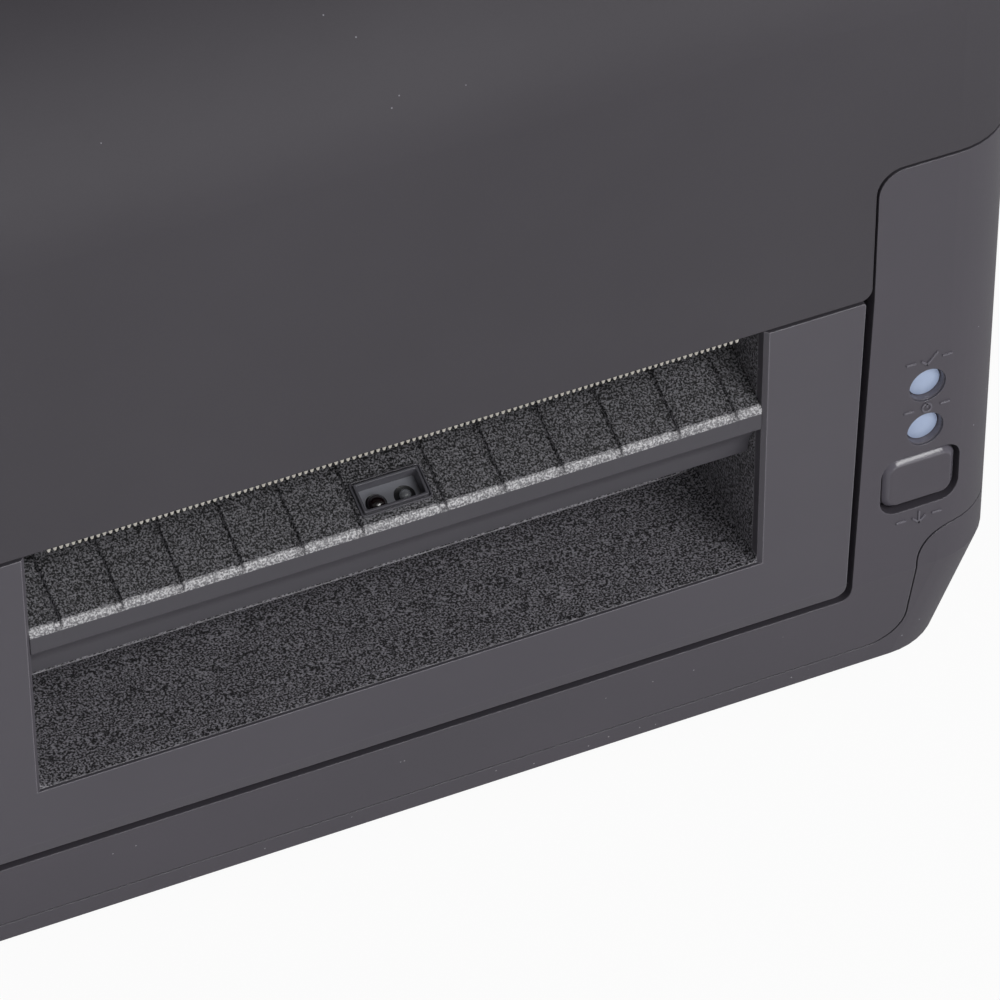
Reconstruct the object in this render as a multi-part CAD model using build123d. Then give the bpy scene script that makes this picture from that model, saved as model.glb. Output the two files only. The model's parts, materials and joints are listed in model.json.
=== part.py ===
from build123d import *
import math
import os

# Desktop label printer with a hinged top cover, in millimetres.
# Origin: middle of the footprint, on the surface the feet stand on.
# +X is the operator's right, +Y points to the rear, +Z is up.

# Label exit and front panel
OPENING_W = 123.6
OPENING_DROP = 48.2
OPENING_CHAMFER = 0.7
PANEL_SIDE = 17.5
PANEL_LIP = 0.6
PANEL_GAP_TOP = 1.5
PANEL_GAP_LOW = 1.1
PANEL_FOOT_GAP = 1.5
PANEL_BEND = 1.0
PANEL_FOOT_R = 2.0

# Case
COLUMN_W = 27.2
CASE_D = 285.0
CASE_H = 190.0
WALL = 2.5
CORNER_R = 13.5
FOOT_H = 4.0
FOOT_R = 8.0
FOOT_INSET = 28.0
TRAY_H = 24.5
TRAY_EDGE = 1.8
CHIN_TAPER = 0.22
PANEL_H = 60.0
COLUMN_RISE = 25.0
COLUMN_TAPER = 1.8
COLUMN_ARC_R = 4.4
COLUMN_RETURN = 10.0

# Seams
SEAM_GAP = 0.3
FIT_GAP = 0.1
COVER_GAP = 0.5
SEAM_FRONT_H = 6.1
SEAM_SIDE_H = 32.0
SEAM_STEP_INSET = 17.0
SEAM_STEP_R = 6.5
CHIN_DROP = 3.0

# Recess below the label exit
RECESS_D = 24.0
RECESS_RISE = 1.2
RECESS_TOP_GAP = 2.0
TRAY_WALL = 2.0

# Ribbed exit guide
GUIDE_D = 24.0
GUIDE_SLOPE = 0.4245
GUIDE_LIP_DROP = 15.5
GUIDE_WALL = 2.4
LIP_Y = 0.5
LIP_R = 1.3
LIP_STRIP = 4.4
LIP_STEP = 1.0
UNDERLIP_D = 4.6
UNDERLIP_H = 8.2
GROOVE_PITCH = 10.0
GROOVE_FIRST = 7.0
GROOVE_W = 0.9
GROOVE_DEPTH = 0.6

# Label sensor in the exit guide
SENSOR_W = 12.0
SENSOR_L = 6.2
SENSOR_RISE = 0.7
SENSOR_RIM = 1.0
SENSOR_Y = 5.2
SENSOR_SINK = 1.0
SENSOR_LENS_R = 1.5
SENSOR_LENS_X = 2.4
SENSOR_BOARD_GAP = 0.4

# Platen roller
PLATEN_Y = 34.0
PLATEN_DROP = 12.0
PLATEN_R = 9.0
PLATEN_END_GAP = 3.8
SHAFT_R = 4.0
SHAFT_TAIL = 3.0
RUN_CLEARANCE = 0.04
BUSH_R = 6.5
BUSH_TAIL = 1.6
BUSH_FLANGE_R = 8.0
BUSH_FLANGE = 1.6

# Side frames
FRAME_GAP = 2.2
FRAME_T = 2.0
FRAME_Y0 = 10.0
FRAME_Y1 = 100.0
FRAME_TOP_DROP = 2.5
FRAME_FLANGE = 12.0

# Drive train
MODULE = 0.8
PLATEN_TEETH = 30
IDLER_TEETH = 48
PINION_TEETH = 16
GEAR_W = 5.0
GEAR_GAP = 4.0
BACKLASH = 0.16
MOTOR_Y = 57.0
MOTOR_LIFT = 5.5
MOTOR_SIZE = 42.0
MOTOR_L = 33.0
MOTOR_BOSS_R = 11.0
MOTOR_SHAFT_R = 2.5
MOTOR_SHAFT_IN = 12.0
MOTOR_HOLES = 31.0
IDLER_STUD_R = 3.0
STUD_HEAD = 1.2

# Media bay
BAY_Y0 = 103.0
BAY_REAR = 20.5
BAY_LIFT = 27.0
DECK_DROP = 4.5
DECK_T = 2.5
SHELF_Y0 = 44.5
SHELF_DROP = 6.5
SHELF_T = 2.0
SHELF_LIP = 8.0
SLOT_Y = 66.0
SLOT_W = 8.0
SLOT_END = 14.0
SENSOR_PAD = 14.0
SENSOR_SLIDE_GAP = 0.3

# Roll guides
GUIDE_INSET = 12.0
GUIDE_T = 2.5
GUIDE_IN = 34.0
GUIDE_OUT = 4.0
GUIDE_BASE_W = 56.0
GUIDE_FOOT_H = 3.0
GUIDE_FOOT_W = 4.0
HUB_LIFT = 65.5
HUB_R = 12.5
HUB_L = 12.0
HUB_FLANGE = 3.0
HUB_GAP = 0.4
HUB_STUD_R = 4.0
RACK_MODULE = 1.0
RACK_TEETH = 20
RACK_T = 3.6
RACK_GAP = 0.4
RACK_BACK = 4.0
RACK_OVERLAP = 17.0
NECK_W = 3.2
NECK_GAP = 0.4
PINION_STUD_R = 3.0

# Hinge
HINGE_INSET = 16.5
HINGE_LIFT = 4.5
BARREL_R = 8.0
BARREL_CLEARANCE = 0.6
HINGE_PIN_R = 2.5
BRACKET_T = 3.4
BRACKET_R = 6.0
BRACKET_DROP = 52.0
BRACKET_FLANGE = 9.0
EAR_W = 6.3
EAR_GAP = 0.5
HINGE_SCREW_DROPS = (22.0, 46.0)

# Cover shape
COVER_CROWN = 46.5
FRONT_RUN = 75.0
REAR_RUN = 94.0
TONGUE_R = 2.0

# Tear bar
TEAR_END_GAP = 3.8
TEAR_PITCH = 1.0
TEAR_TOOTH = 1.6
TEAR_TIP_DROP = 1.3
TEAR_Y = 1.4
TEAR_T = 0.8
TEAR_FLANGE = 13.0

# Print head and its carrier
CARRIER_LIFT = 19.5
CARRIER_T = 3.0
CARRIER_GAP = 2.8
CARRIER_D = 66.0
CHEEK_GAP = 2.5
CHEEK_T = 2.5
HEAD_PIVOT_Y = 58.0
HEAD_PIVOT_DROP = 10.0
HEAD_PIVOT_R = 2.0
HEAD_END_GAP = 1.0
HEAD_GAP = 0.35
HEAD_Y0 = 29.0
HEAD_D = 23.0
HEAD_BOARD_T = 1.0
HEAD_BOARD_D = 18.0
HEAD_SINK_H = 7.0
FIN_PITCH = 3.0
FIN_SLOT = 1.4
ARM_T = 3.5
ARM_R = 4.5
SPRING_R = 3.5
SPRING_WIRE = 0.9
SPRING_TURNS = 5
SPRING_X = 36.0
SPRING_Y = 40.0

# Controls on the right column
LED_INSET = 16.9
LED_DROPS = (21.0, 30.2)
LED_R = 3.25
LED_RECESS = 0.9
LED_DOME = 0.8
BUTTON_INSET = 17.3
BUTTON_DROP = 40.8
BUTTON_W = 13.0
BUTTON_H = 10.1
BUTTON_GAP = 0.75
BUTTON_R = 2.6
BUTTON_BEVEL = 1.0
BUTTON_TRAVEL = 1.0
BUTTON_LIP = 0.9
SWITCH_BODY = 6.0
SWITCH_BODY_H = 3.5
SWITCH_TIP_H = 0.6
CONTROL_Y = 14.0
CONTROL_W = 20.4
CONTROL_EDGE = 4.0
CONTROL_TOP_DROP = 10.0
CONTROL_H = 37.5
CONTROL_POST_R = 2.5
CONTROL_SCREW_R = 1.0
CONTROL_SCREW_L = 6.0
BOARD_T = 1.6

# Rear connectors
IO_HALF = 66.0
IO_LOW = 8.5
IO_HIGH = 25.5
IO_RIM = 1.5
IO_PLATE_GAP = 0.6
IO_PLATE_T = 1.6
SOCKET_PROUD = 0.4
BOARD_LIFT = 3.5
MAIN_BOARD_HALF = 60.0
MAIN_BOARD_D = 161.5
BOARD_POST_INSET = 6.0
USB_X = 18.0
USB_SIZE = (12.0, 11.0, 16.0)
NET_X = 42.0
NET_SIZE = (16.0, 13.5, 15.5)
DC_X = -8.0
DC_SIZE = (9.0, 11.0, 14.0)
DC_BORE_R = 3.0
DC_PIN_R = 1.05
SWITCH_X = -46.0
SWITCH_LIFT = 17.5
SWITCH_W = 19.2
SWITCH_H = 12.8
SWITCH_D = 14.0
SWITCH_RIM = 1.2
SWITCH_WALL = 0.9
SWITCH_TILT = 8.0
ROCKER_W = 15.4
ROCKER_T = 6.4
ROCKER_GAP = 0.3
ROCKER_PIN_R = 1.0

# Screws
SCREW_R = 1.5
SCREW_HEAD_R = 2.8
SCREW_HEAD_H = 2.0
POST_R = 4.5
POST_BORE_R = 3.2
POST_INSET = 13.0
POST_FRONT = 30.0
POST_REAR = 17.5
POST_SEAT = 26.0
CASE_SCREW_L = 14.0
BOSS_H = 24.0
CARRIER_SCREW_L = 12.0
CARRIER_POST_X = 50.0
CARRIER_POST_Y = (22.0, 58.0)

# Places that follow from the sizes above
OPENING_HALF = OPENING_W / 2
COLUMN_TOP_X = OPENING_HALF + PANEL_SIDE + PANEL_GAP_TOP
COLUMN_LOW_X = COLUMN_TOP_X - COLUMN_TAPER
CASE_W = 2 * (COLUMN_TOP_X + COLUMN_W)
SIDE_X = CASE_W / 2
FRONT = -CASE_D / 2
REAR = CASE_D / 2
CREASE_Z = FOOT_H + TRAY_H
PANEL_TOP_Z = CREASE_Z + PANEL_H
SIDE_TOP_Z = PANEL_TOP_Z + COLUMN_RISE
FLOOR_Z = FOOT_H + WALL
SEAM_FRONT_Z = FOOT_H + SEAM_FRONT_H
SEAM_SIDE_Z = FOOT_H + SEAM_SIDE_H
SEAM_STEP_X = SIDE_X - SEAM_STEP_INSET
CHIN_TOP_Z = CREASE_Z - CHIN_DROP
OPENING_LOW_Z = PANEL_TOP_Z - OPENING_DROP
PLATEN_Z = PANEL_TOP_Z - PLATEN_DROP
PLATEN_HALF = OPENING_HALF - PLATEN_END_GAP
FRAME_X = OPENING_HALF + TRAY_WALL + FRAME_GAP
FRAME_TOP_Z = PANEL_TOP_Z - FRAME_TOP_DROP
GEAR_X = -(FRAME_X + FRAME_T + GEAR_GAP + GEAR_W)
MOTOR_Z = FLOOR_Z + MOTOR_LIFT + MOTOR_SIZE / 2
BAY_HALF = FRAME_X
BAY_Y1 = CASE_D - BAY_REAR
BAY_FLOOR_Z = FLOOR_Z + BAY_LIFT
DECK_TOP_Z = SIDE_TOP_Z - DECK_DROP
SHELF_TOP_Z = PANEL_TOP_Z - SHELF_DROP
SLOT_HALF = FRAME_X - SLOT_END
ROLL_Y = FRONT + (BAY_Y0 + BAY_Y1) / 2
GUIDE_X = BAY_HALF - GUIDE_INSET
HUB_Z = BAY_FLOOR_Z + HUB_LIFT
RACK_R = RACK_MODULE * RACK_TEETH / 2
RACK_TOP_Z = BAY_FLOOR_Z - WALL - RACK_GAP
NECK_Y = RACK_R + 1.25 * RACK_MODULE + RACK_BACK / 2
HINGE_Y = REAR - HINGE_INSET
HINGE_Z = SIDE_TOP_Z + HINGE_LIFT
BRACKET_X = SIDE_X - CORNER_R - BRACKET_T - FIT_GAP
EAR_X = BRACKET_X - EAR_GAP - EAR_W
TEAR_HALF = OPENING_HALF - TEAR_END_GAP
CARRIER_Z = PANEL_TOP_Z + CARRIER_LIFT
CARRIER_HALF = COLUMN_TOP_X - CARRIER_GAP
HEAD_HALF = PLATEN_HALF - HEAD_END_GAP
CHEEK_X = HEAD_HALF + ARM_T - HEAD_END_GAP + CHEEK_GAP
HEAD_PIVOT_Z = CARRIER_Z - HEAD_PIVOT_DROP
HEAD_Y1 = HEAD_Y0 + HEAD_D
LED_X = SIDE_X - LED_INSET
BUTTON_X = SIDE_X - BUTTON_INSET
BUTTON_Z = PANEL_TOP_Z - BUTTON_DROP
CONTROL_X1 = SIDE_X - CONTROL_EDGE
CONTROL_X0 = CONTROL_X1 - CONTROL_W
CONTROL_Z1 = PANEL_TOP_Z - CONTROL_TOP_DROP
CONTROL_POSTS = ((CONTROL_X1 - 4.0, CONTROL_Z1 - 7.5), (CONTROL_X0 + 2.9, CONTROL_Z1 - 3.0))
IO_LOW_Z = FOOT_H + IO_LOW
IO_HIGH_Z = FOOT_H + IO_HIGH
IO_PLATE_Y = REAR - WALL - (CREASE_Z - IO_LOW_Z + IO_RIM) * CHIN_TAPER - IO_PLATE_GAP
SOCKET_Y = IO_PLATE_Y + SOCKET_PROUD
MAIN_BOARD_Z = FLOOR_Z + BOARD_LIFT
SOCKET_Z = MAIN_BOARD_Z + BOARD_T
MAIN_BOARD_Y1 = IO_PLATE_Y - IO_PLATE_T - 0.5
MAIN_BOARD_Y0 = MAIN_BOARD_Y1 - MAIN_BOARD_D
SWITCH_Z = FOOT_H + SWITCH_LIFT
POST_X = SIDE_X - POST_INSET
POST_SEAT_Z = FOOT_H + POST_SEAT
BOSS_TOP_Z = SEAM_SIDE_Z + BOSS_H
CASE_POSTS = [(sx * POST_X, y) for sx in (-1, 1) for y in (FRONT + POST_FRONT, REAR - POST_REAR)]
BOARD_POST_X = MAIN_BOARD_HALF - BOARD_POST_INSET
BOARD_POST_YS = (MAIN_BOARD_Y0 + BOARD_POST_INSET, MAIN_BOARD_Y1 - 2.5 * BOARD_POST_INSET)
BOARD_POSTS = [(sx * BOARD_POST_X, y) for sx in (-1, 1) for y in BOARD_POST_YS]
CARRIER_POSTS = [(sx * CARRIER_POST_X, FRONT + y) for sx in (-1, 1) for y in CARRIER_POST_Y]


# Outline and solid helpers

def outline(*corners):
    """Face inside a closed run of corners (x, y, radius)."""
    runs = []
    count = len(corners)
    for i, (x, y, radius) in enumerate(corners):
        here = Vector(x, y)
        back = (Vector(*corners[i - 1][:2]) - here).normalized()
        ahead = (Vector(*corners[(i + 1) % count][:2]) - here).normalized()
        if radius == 0:
            runs.append((here, None, here))
            continue
        half = math.radians(back.get_angle(ahead)) / 2
        middle = (back + ahead).normalized()
        start = here + back * (radius / math.tan(half))
        end = here + ahead * (radius / math.tan(half))
        runs.append((start, here + middle * (radius / math.sin(half) - radius), end))
    edges = []
    for i, (start, middle, end) in enumerate(runs):
        if middle is not None:
            edges.append(ThreePointArc(start, middle, end))
        following = runs[(i + 1) % count][0]
        if (following - end).length > 1e-6:
            edges.append(Line(end, following))
    return make_face(edges)


def prism_x(x0, x1, *corners):
    """Solid from x0 to x1 with the (y, z, radius) outline."""
    return Pos(x0, 0, 0) * extrude(Plane.YZ * outline(*corners), amount=x1 - x0)


def prism_y(y0, y1, *corners):
    """Solid from y0 to y1 with the (x, z, radius) outline."""
    return Pos(0, y0, 0) * extrude(Plane.XZ * outline(*corners), amount=y0 - y1)


def prism_z(z0, z1, *corners):
    """Solid from z0 to z1 with the (x, y, radius) outline."""
    return Pos(0, 0, z0) * extrude(outline(*corners), amount=z1 - z0)


def block(x0, x1, y0, y1, z0, z1):
    """Box between two corners."""
    centre = Pos((x0 + x1) / 2, (y0 + y1) / 2, (z0 + z1) / 2)
    return centre * Box(abs(x1 - x0), abs(y1 - y0), abs(z1 - z0))


def rod_x(radius, x0, x1, y, z):
    """Cylinder along X."""
    return Pos((x0 + x1) / 2, y, z) * Rot(0, 90, 0) * Cylinder(radius, abs(x1 - x0))


def rod_y(radius, y0, y1, x, z):
    """Cylinder along Y."""
    return Pos(x, (y0 + y1) / 2, z) * Rot(90, 0, 0) * Cylinder(radius, abs(y1 - y0))


def rod_z(radius, z0, z1, x, y):
    """Cylinder along Z."""
    return Pos(x, y, (z0 + z1) / 2) * Cylinder(radius, abs(z1 - z0))


def both_sides(shape):
    """The shape and its mirror image across the middle of the printer."""
    return shape + mirror(shape, Plane.YZ)


def screw(length):
    """Pan-head screw: head above the origin, shank below it, crossed slots on top."""
    body = rod_z(SCREW_HEAD_R, 0, SCREW_HEAD_H, 0, 0)
    body = fillet(body.edges().group_by(Axis.Z)[-1], SCREW_HEAD_H / 3)
    slot = Pos(0, 0, SCREW_HEAD_H) * Box(SCREW_HEAD_R, SCREW_HEAD_R / 5, SCREW_HEAD_H)
    body = body - slot - Rot(0, 0, 90) * slot
    return body + rod_z(SCREW_R, -length, 0, 0, 0)


def involute(angle):
    """Involute of a pressure angle in radians."""
    return math.tan(angle) - angle


def gear_face(teeth, module, phase):
    """Spur gear outline with one tooth centred on the phase angle (degrees)."""
    pitch_r = teeth * module / 2
    base_r = pitch_r * math.cos(math.radians(20))
    tip_r = pitch_r + module
    root_r = pitch_r - 1.25 * module
    half_pitch = math.pi / (2 * teeth) - BACKLASH / (2 * pitch_r)
    start_r = max(base_r, root_r)
    steps = 5
    flank = []
    for i in range(steps):
        radius = start_r + (tip_r - start_r) * i / (steps - 1)
        pressure = math.acos(min(base_r / radius, 1.0))
        half = half_pitch + involute(math.radians(20)) - involute(pressure)
        flank.append((radius, half))
    if root_r < base_r:
        flank.insert(0, (root_r, flank[0][1]))
    points = []
    for tooth in range(teeth):
        centre = math.radians(phase) + 2 * math.pi * tooth / teeth
        for radius, half in flank:
            points.append((radius * math.cos(centre - half), radius * math.sin(centre - half)))
        for radius, half in reversed(flank):
            points.append((radius * math.cos(centre + half), radius * math.sin(centre + half)))
    return make_face(Polyline(*points, close=True))


# Case

def case_ring(z, inset):
    """Level outline of the lower case, drawn in below the crease."""
    drawn_in = inset + max(CREASE_Z - z, 0) * CHIN_TAPER
    radius = CORNER_R - min(inset, WALL)
    return Pos(0, 0, z) * RectangleRounded(CASE_W - 2 * drawn_in, CASE_D - 2 * drawn_in, radius)


def case_outer():
    """Outside form of tray and main case together."""
    foot = case_ring(FOOT_H, TRAY_EDGE)
    edge = case_ring(FOOT_H + TRAY_EDGE, 0)
    crease = case_ring(CREASE_Z, 0)
    lower = loft([foot, edge, crease], ruled=True)
    return lower + extrude(crease, SIDE_TOP_Z - CREASE_Z)


def case_inner():
    """Inside form of tray and main case together, open at the top."""
    floor = case_ring(FLOOR_Z, WALL)
    crease = case_ring(CREASE_Z, WALL)
    return loft([floor, crease], ruled=True) + extrude(crease, CASE_H - CREASE_Z)


def below_seam(raised):
    """Everything under the seam between the base tray and the main case."""
    x = SEAM_STEP_X
    far = CASE_W
    low = SEAM_FRONT_Z + raised
    high = SEAM_SIDE_Z + raised
    right = [(x - raised, low, SEAM_STEP_R), (x - raised, high, SEAM_STEP_R), (far, high, 0), (far, -1, 0)]
    left = [(-px, pz, radius) for px, pz, radius in reversed(right)]
    return prism_y(FRONT - 1, REAR + 1, *(left + right))


def front_notch():
    """Space between the two front columns, above the chin."""
    x_low = COLUMN_LOW_X
    x_high = COLUMN_TOP_X
    return prism_y(FRONT - 1, FRONT + COLUMN_RETURN,
                   (-x_high, PANEL_TOP_Z, 0), (-x_low, CHIN_TOP_Z, PANEL_FOOT_R),
                   (x_low, CHIN_TOP_Z, PANEL_FOOT_R), (x_high, PANEL_TOP_Z, 0),
                   (x_high, CASE_H, 0), (-x_high, CASE_H, 0))


def base_tray():
    """Bottom shell with its floor, screw posts and board posts."""
    shell = (case_outer() - case_inner()) & below_seam(0)
    for x, y in CASE_POSTS:
        shell += rod_z(POST_R, FLOOR_Z - 0.5, SEAM_SIDE_Z, x, y)
        shell -= rod_z(POST_BORE_R, 0, POST_SEAT_Z, x, y)
        shell -= rod_z(SCREW_R, POST_SEAT_Z - 1, SEAM_SIDE_Z + 1, x, y)
    for x, y in BOARD_POSTS:
        shell += rod_z(POST_R - 1, FLOOR_Z - 0.5, MAIN_BOARD_Z, x, y)
        shell -= rod_z(SCREW_R, FLOOR_Z, MAIN_BOARD_Z + 1, x, y)
    for x, y in frame_screw_places():
        shell -= rod_z(SCREW_R, FLOOR_Z - 0.8 * WALL, FLOOR_Z + 1, x, y)
    return shell


def rubber_feet():
    """Four round feet."""
    feet = []
    for sx in (-1, 1):
        for y in (FRONT + FOOT_INSET, REAR - FOOT_INSET):
            foot = rod_z(FOOT_R, 0, FOOT_H, sx * (SIDE_X - FOOT_INSET), y)
            feet.append(chamfer(foot.edges().group_by(Axis.Z)[0], FOOT_H / 5))
    return Compound(children=feet)


def column_cut():
    """Rounded upper inner corner of the columns."""
    r = COLUMN_ARC_R
    x = COLUMN_TOP_X
    corner = block(x - 1, x + r, FRONT - 1, FRONT + WALL + r, SIDE_TOP_Z - r, SIDE_TOP_Z + 1)
    corner -= rod_y(r, FRONT - 2, FRONT + WALL + r + 1, x + r, SIDE_TOP_Z - r)
    return both_sides(corner)


def button_outline(grow):
    """Rounded outline of the feed button, grown by a gap."""
    x, z = BUTTON_X, BUTTON_Z
    w = BUTTON_W / 2 + grow
    h = BUTTON_H / 2 + grow
    r = BUTTON_R + grow
    return (x - w, z - h, r), (x + w, z - h, r), (x + w, z + h, r), (x - w, z + h, r)


def main_case():
    """Upper case: columns, chin, side walls and rear wall."""
    shell = (case_outer() - case_inner()) - below_seam(SEAM_GAP)
    x0 = COLUMN_TOP_X
    returns = block(x0, x0 + WALL, FRONT + 1, FRONT + COLUMN_RETURN, CREASE_Z + WALL, DECK_TOP_Z)
    shell += both_sides(returns & case_outer())
    shell -= front_notch()
    shell -= column_cut()
    for drop in LED_DROPS:
        shell -= rod_y(LED_R, FRONT - 1, FRONT + WALL + 1, LED_X, PANEL_TOP_Z - drop)
    shell -= prism_y(FRONT - 1, FRONT + WALL + 1, *button_outline(BUTTON_GAP))
    shell -= rod_x(BARREL_R + BARREL_CLEARANCE, -CASE_W, CASE_W, HINGE_Y, HINGE_Z)
    shell -= block(-CASE_W, CASE_W, HINGE_Y, REAR + 1, DECK_TOP_Z, CASE_H)
    shell -= block(-IO_HALF, IO_HALF, IO_PLATE_Y - 5, REAR + 1, IO_LOW_Z, IO_HIGH_Z)
    for x, y in CASE_POSTS:
        wall_x = math.copysign(SIDE_X - WALL / 2, x)
        shell += rod_z(POST_R, SEAM_SIDE_Z, BOSS_TOP_Z, x, y)
        shell += block(x, wall_x, y - 1, y + 1, SEAM_SIDE_Z + SEAM_GAP, BOSS_TOP_Z)
        shell -= rod_z(SCREW_R, SEAM_SIDE_Z - 1, POST_SEAT_Z + CASE_SCREW_L, x, y)
    for x, z in CONTROL_POSTS:
        shell += rod_y(CONTROL_POST_R, FRONT + WALL - 0.5, FRONT + CONTROL_Y, x, z) & case_outer()
        shell -= rod_y(CONTROL_SCREW_R, FRONT + CONTROL_Y - CONTROL_SCREW_L, FRONT + CONTROL_Y + 1, x, z)
    return shell


def front_panel():
    """Removable front panel around the label exit."""
    top = OPENING_HALF + PANEL_SIDE
    low = COLUMN_LOW_X - PANEL_GAP_LOW
    low_z = CHIN_TOP_Z + PANEL_FOOT_GAP
    bend_z = CREASE_Z + PANEL_BEND
    r = PANEL_FOOT_R
    sheet = prism_y(FRONT - 1, FRONT + WALL + 2,
                    (-top, PANEL_TOP_Z, 0.4), (-low, low_z, r), (low, low_z, r), (top, PANEL_TOP_Z, 0.4))
    drawn_in = (bend_z - low_z) * CHIN_TAPER
    form = prism_x(-CASE_W, CASE_W,
                   (FRONT, CASE_H, 0), (FRONT, bend_z, 0), (FRONT + drawn_in, low_z, 0),
                   (FRONT + drawn_in + WALL, low_z, 0), (FRONT + WALL, bend_z, 0), (FRONT + WALL, CASE_H, 0))
    panel = sheet & form
    half = OPENING_HALF
    opening = block(-half, half, FRONT - 1, FRONT + WALL + 1, OPENING_LOW_Z, CASE_H)
    rebate = block(-half, half, FRONT + PANEL_LIP, FRONT + WALL + 1, OPENING_LOW_Z - TRAY_WALL, CASE_H)
    c = OPENING_CHAMFER
    bevel = prism_z(OPENING_LOW_Z, CASE_H,
                    (half - 1, FRONT - 1, 0), (half + c + 1, FRONT - 1, 0), (half - 1, FRONT + c + 1, 0))
    return panel - opening - rebate - both_sides(bevel)


def exit_tray():
    """Open recess below the label exit."""
    half = OPENING_HALF
    back = FRONT + RECESS_D
    rear_z = OPENING_LOW_Z + RECESS_RISE
    t = TRAY_WALL
    floor = prism_x(-half, half,
                    (FRONT + PANEL_LIP, OPENING_LOW_Z - t, 0), (back + t, rear_z - t, 0),
                    (back + t, rear_z, 0), (back, rear_z, 0), (FRONT + PANEL_LIP, OPENING_LOW_Z, 0))
    rear = block(-half, half, back, back + t, rear_z - t, PLATEN_Z - BUSH_FLANGE_R - 2 * TRAY_WALL)
    side = prism_x(half, half + t,
                   (FRONT + WALL, OPENING_LOW_Z - t, 0), (back + t, rear_z - t, 0),
                   (back + t, PLATEN_Z - BUSH_FLANGE_R - 2 * TRAY_WALL, 0),
                   (back - BUSH_FLANGE_R, PANEL_TOP_Z - RECESS_TOP_GAP, 2),
                   (FRONT + WALL, PANEL_TOP_Z - RECESS_TOP_GAP, 0))
    return floor + rear + both_sides(side)


def guide_slope_z(y):
    """Height of the exit guide's top surface at a distance y behind the front face."""
    return PANEL_TOP_Z - GUIDE_LIP_DROP + GUIDE_SLOPE * (y - LIP_Y)


def slope_place(x, y):
    """Location on the exit guide's top surface, its Z axis square to the slope."""
    tilt = math.degrees(math.atan(GUIDE_SLOPE))
    return Pos(x, FRONT + y, guide_slope_z(y)) * Rot(tilt, 0, 0)


def exit_guide():
    """Ribbed plate that the label slides over, with its rolled lip."""
    y0 = FRONT + LIP_Y
    step = LIP_STEP
    strip_z = guide_slope_z(LIP_Y) - LIP_STRIP
    under_y = y0 + UNDERLIP_D
    under_z = strip_z - UNDERLIP_H
    t = GUIDE_WALL
    inner = LIP_Y + t + step
    body = prism_x(-OPENING_HALF, OPENING_HALF,
                   (FRONT + GUIDE_D, guide_slope_z(GUIDE_D), 0),
                   (y0, guide_slope_z(LIP_Y), LIP_R),
                   (y0, strip_z, 0.4),
                   (y0 + step, strip_z - step / 2, 0),
                   (under_y - step, under_z + UNDERLIP_H / 2, 6.0),
                   (under_y, under_z, 0),
                   (under_y + t, under_z, 0),
                   (FRONT + inner, strip_z + step, 4.0),
                   (FRONT + inner, guide_slope_z(inner) - t, 0),
                   (FRONT + GUIDE_D, guide_slope_z(GUIDE_D) - t, 0))
    grooves = []
    pairs = int((OPENING_HALF - GROOVE_FIRST) // GROOVE_PITCH) + 1
    for pair in range(pairs):
        x = GROOVE_FIRST + GROOVE_PITCH * pair
        cut = make_face(Polyline((-GROOVE_W / 2, 0.01), (0, -GROOVE_DEPTH), (GROOVE_W / 2, 0.01), close=True))
        cut = extrude(Plane.XZ * cut, amount=GUIDE_D, both=True)
        grooves.append(slope_place(x, GUIDE_D / 2) * cut)
        grooves.append(slope_place(-x, GUIDE_D / 2) * cut)
    opening = Box(SENSOR_W - SENSOR_RIM, SENSOR_L - SENSOR_RIM, 4 * t)
    return body - grooves - slope_place(0, SENSOR_Y) * opening


def sensor_bezel():
    """Raised window frame of the label sensor."""
    t = SENSOR_RIM
    frame = Pos(0, 0, SENSOR_RISE / 2) * Box(SENSOR_W, SENSOR_L, SENSOR_RISE)
    frame = chamfer(frame.edges().group_by(Axis.Z)[-1], 0.4 * SENSOR_RISE)
    frame -= Box(SENSOR_W - 2 * t, SENSOR_L - 2 * t, 4 * SENSOR_RISE)
    return slope_place(0, SENSOR_Y) * frame


def sensor_lens(x):
    """Domed lens of the label sensor, standing on the sensor's board."""
    top = -SENSOR_SINK
    lens = rod_z(SENSOR_LENS_R, -GUIDE_WALL - SENSOR_BOARD_GAP, top, 0, 0)
    dome = Pos(0, 0, top) * Sphere(SENSOR_LENS_R)
    dome -= Pos(0, 0, top - SENSOR_LENS_R) * Box(3 * SENSOR_LENS_R, 3 * SENSOR_LENS_R, 2 * SENSOR_LENS_R)
    return slope_place(x, SENSOR_Y) * (lens + dome)


def sensor_seat():
    """Small circuit board under the sensor window."""
    z = -GUIDE_WALL - SENSOR_BOARD_GAP
    length = SENSOR_L + SENSOR_RISE
    seat = Pos(0, length / 2 - SENSOR_LENS_R - 0.3, z - BOARD_T / 2) * Box(1.5 * SENSOR_W, length, BOARD_T)
    return slope_place(0, SENSOR_Y) * seat


# Paper drive

def idler_place():
    """Centre of the idler (y, z), meshing with the platen gear and the motor pinion."""
    to_platen = MODULE * (PLATEN_TEETH + IDLER_TEETH) / 2
    to_motor = MODULE * (IDLER_TEETH + PINION_TEETH) / 2
    py, pz = FRONT + PLATEN_Y, PLATEN_Z
    my, mz = FRONT + MOTOR_Y, MOTOR_Z
    span = math.hypot(my - py, mz - pz)
    along = (to_platen ** 2 - to_motor ** 2 + span ** 2) / (2 * span)
    across = math.sqrt(to_platen ** 2 - along ** 2)
    uy, uz = (my - py) / span, (mz - pz) / span
    return py + along * uy - across * uz, pz + along * uz + across * uy


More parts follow.
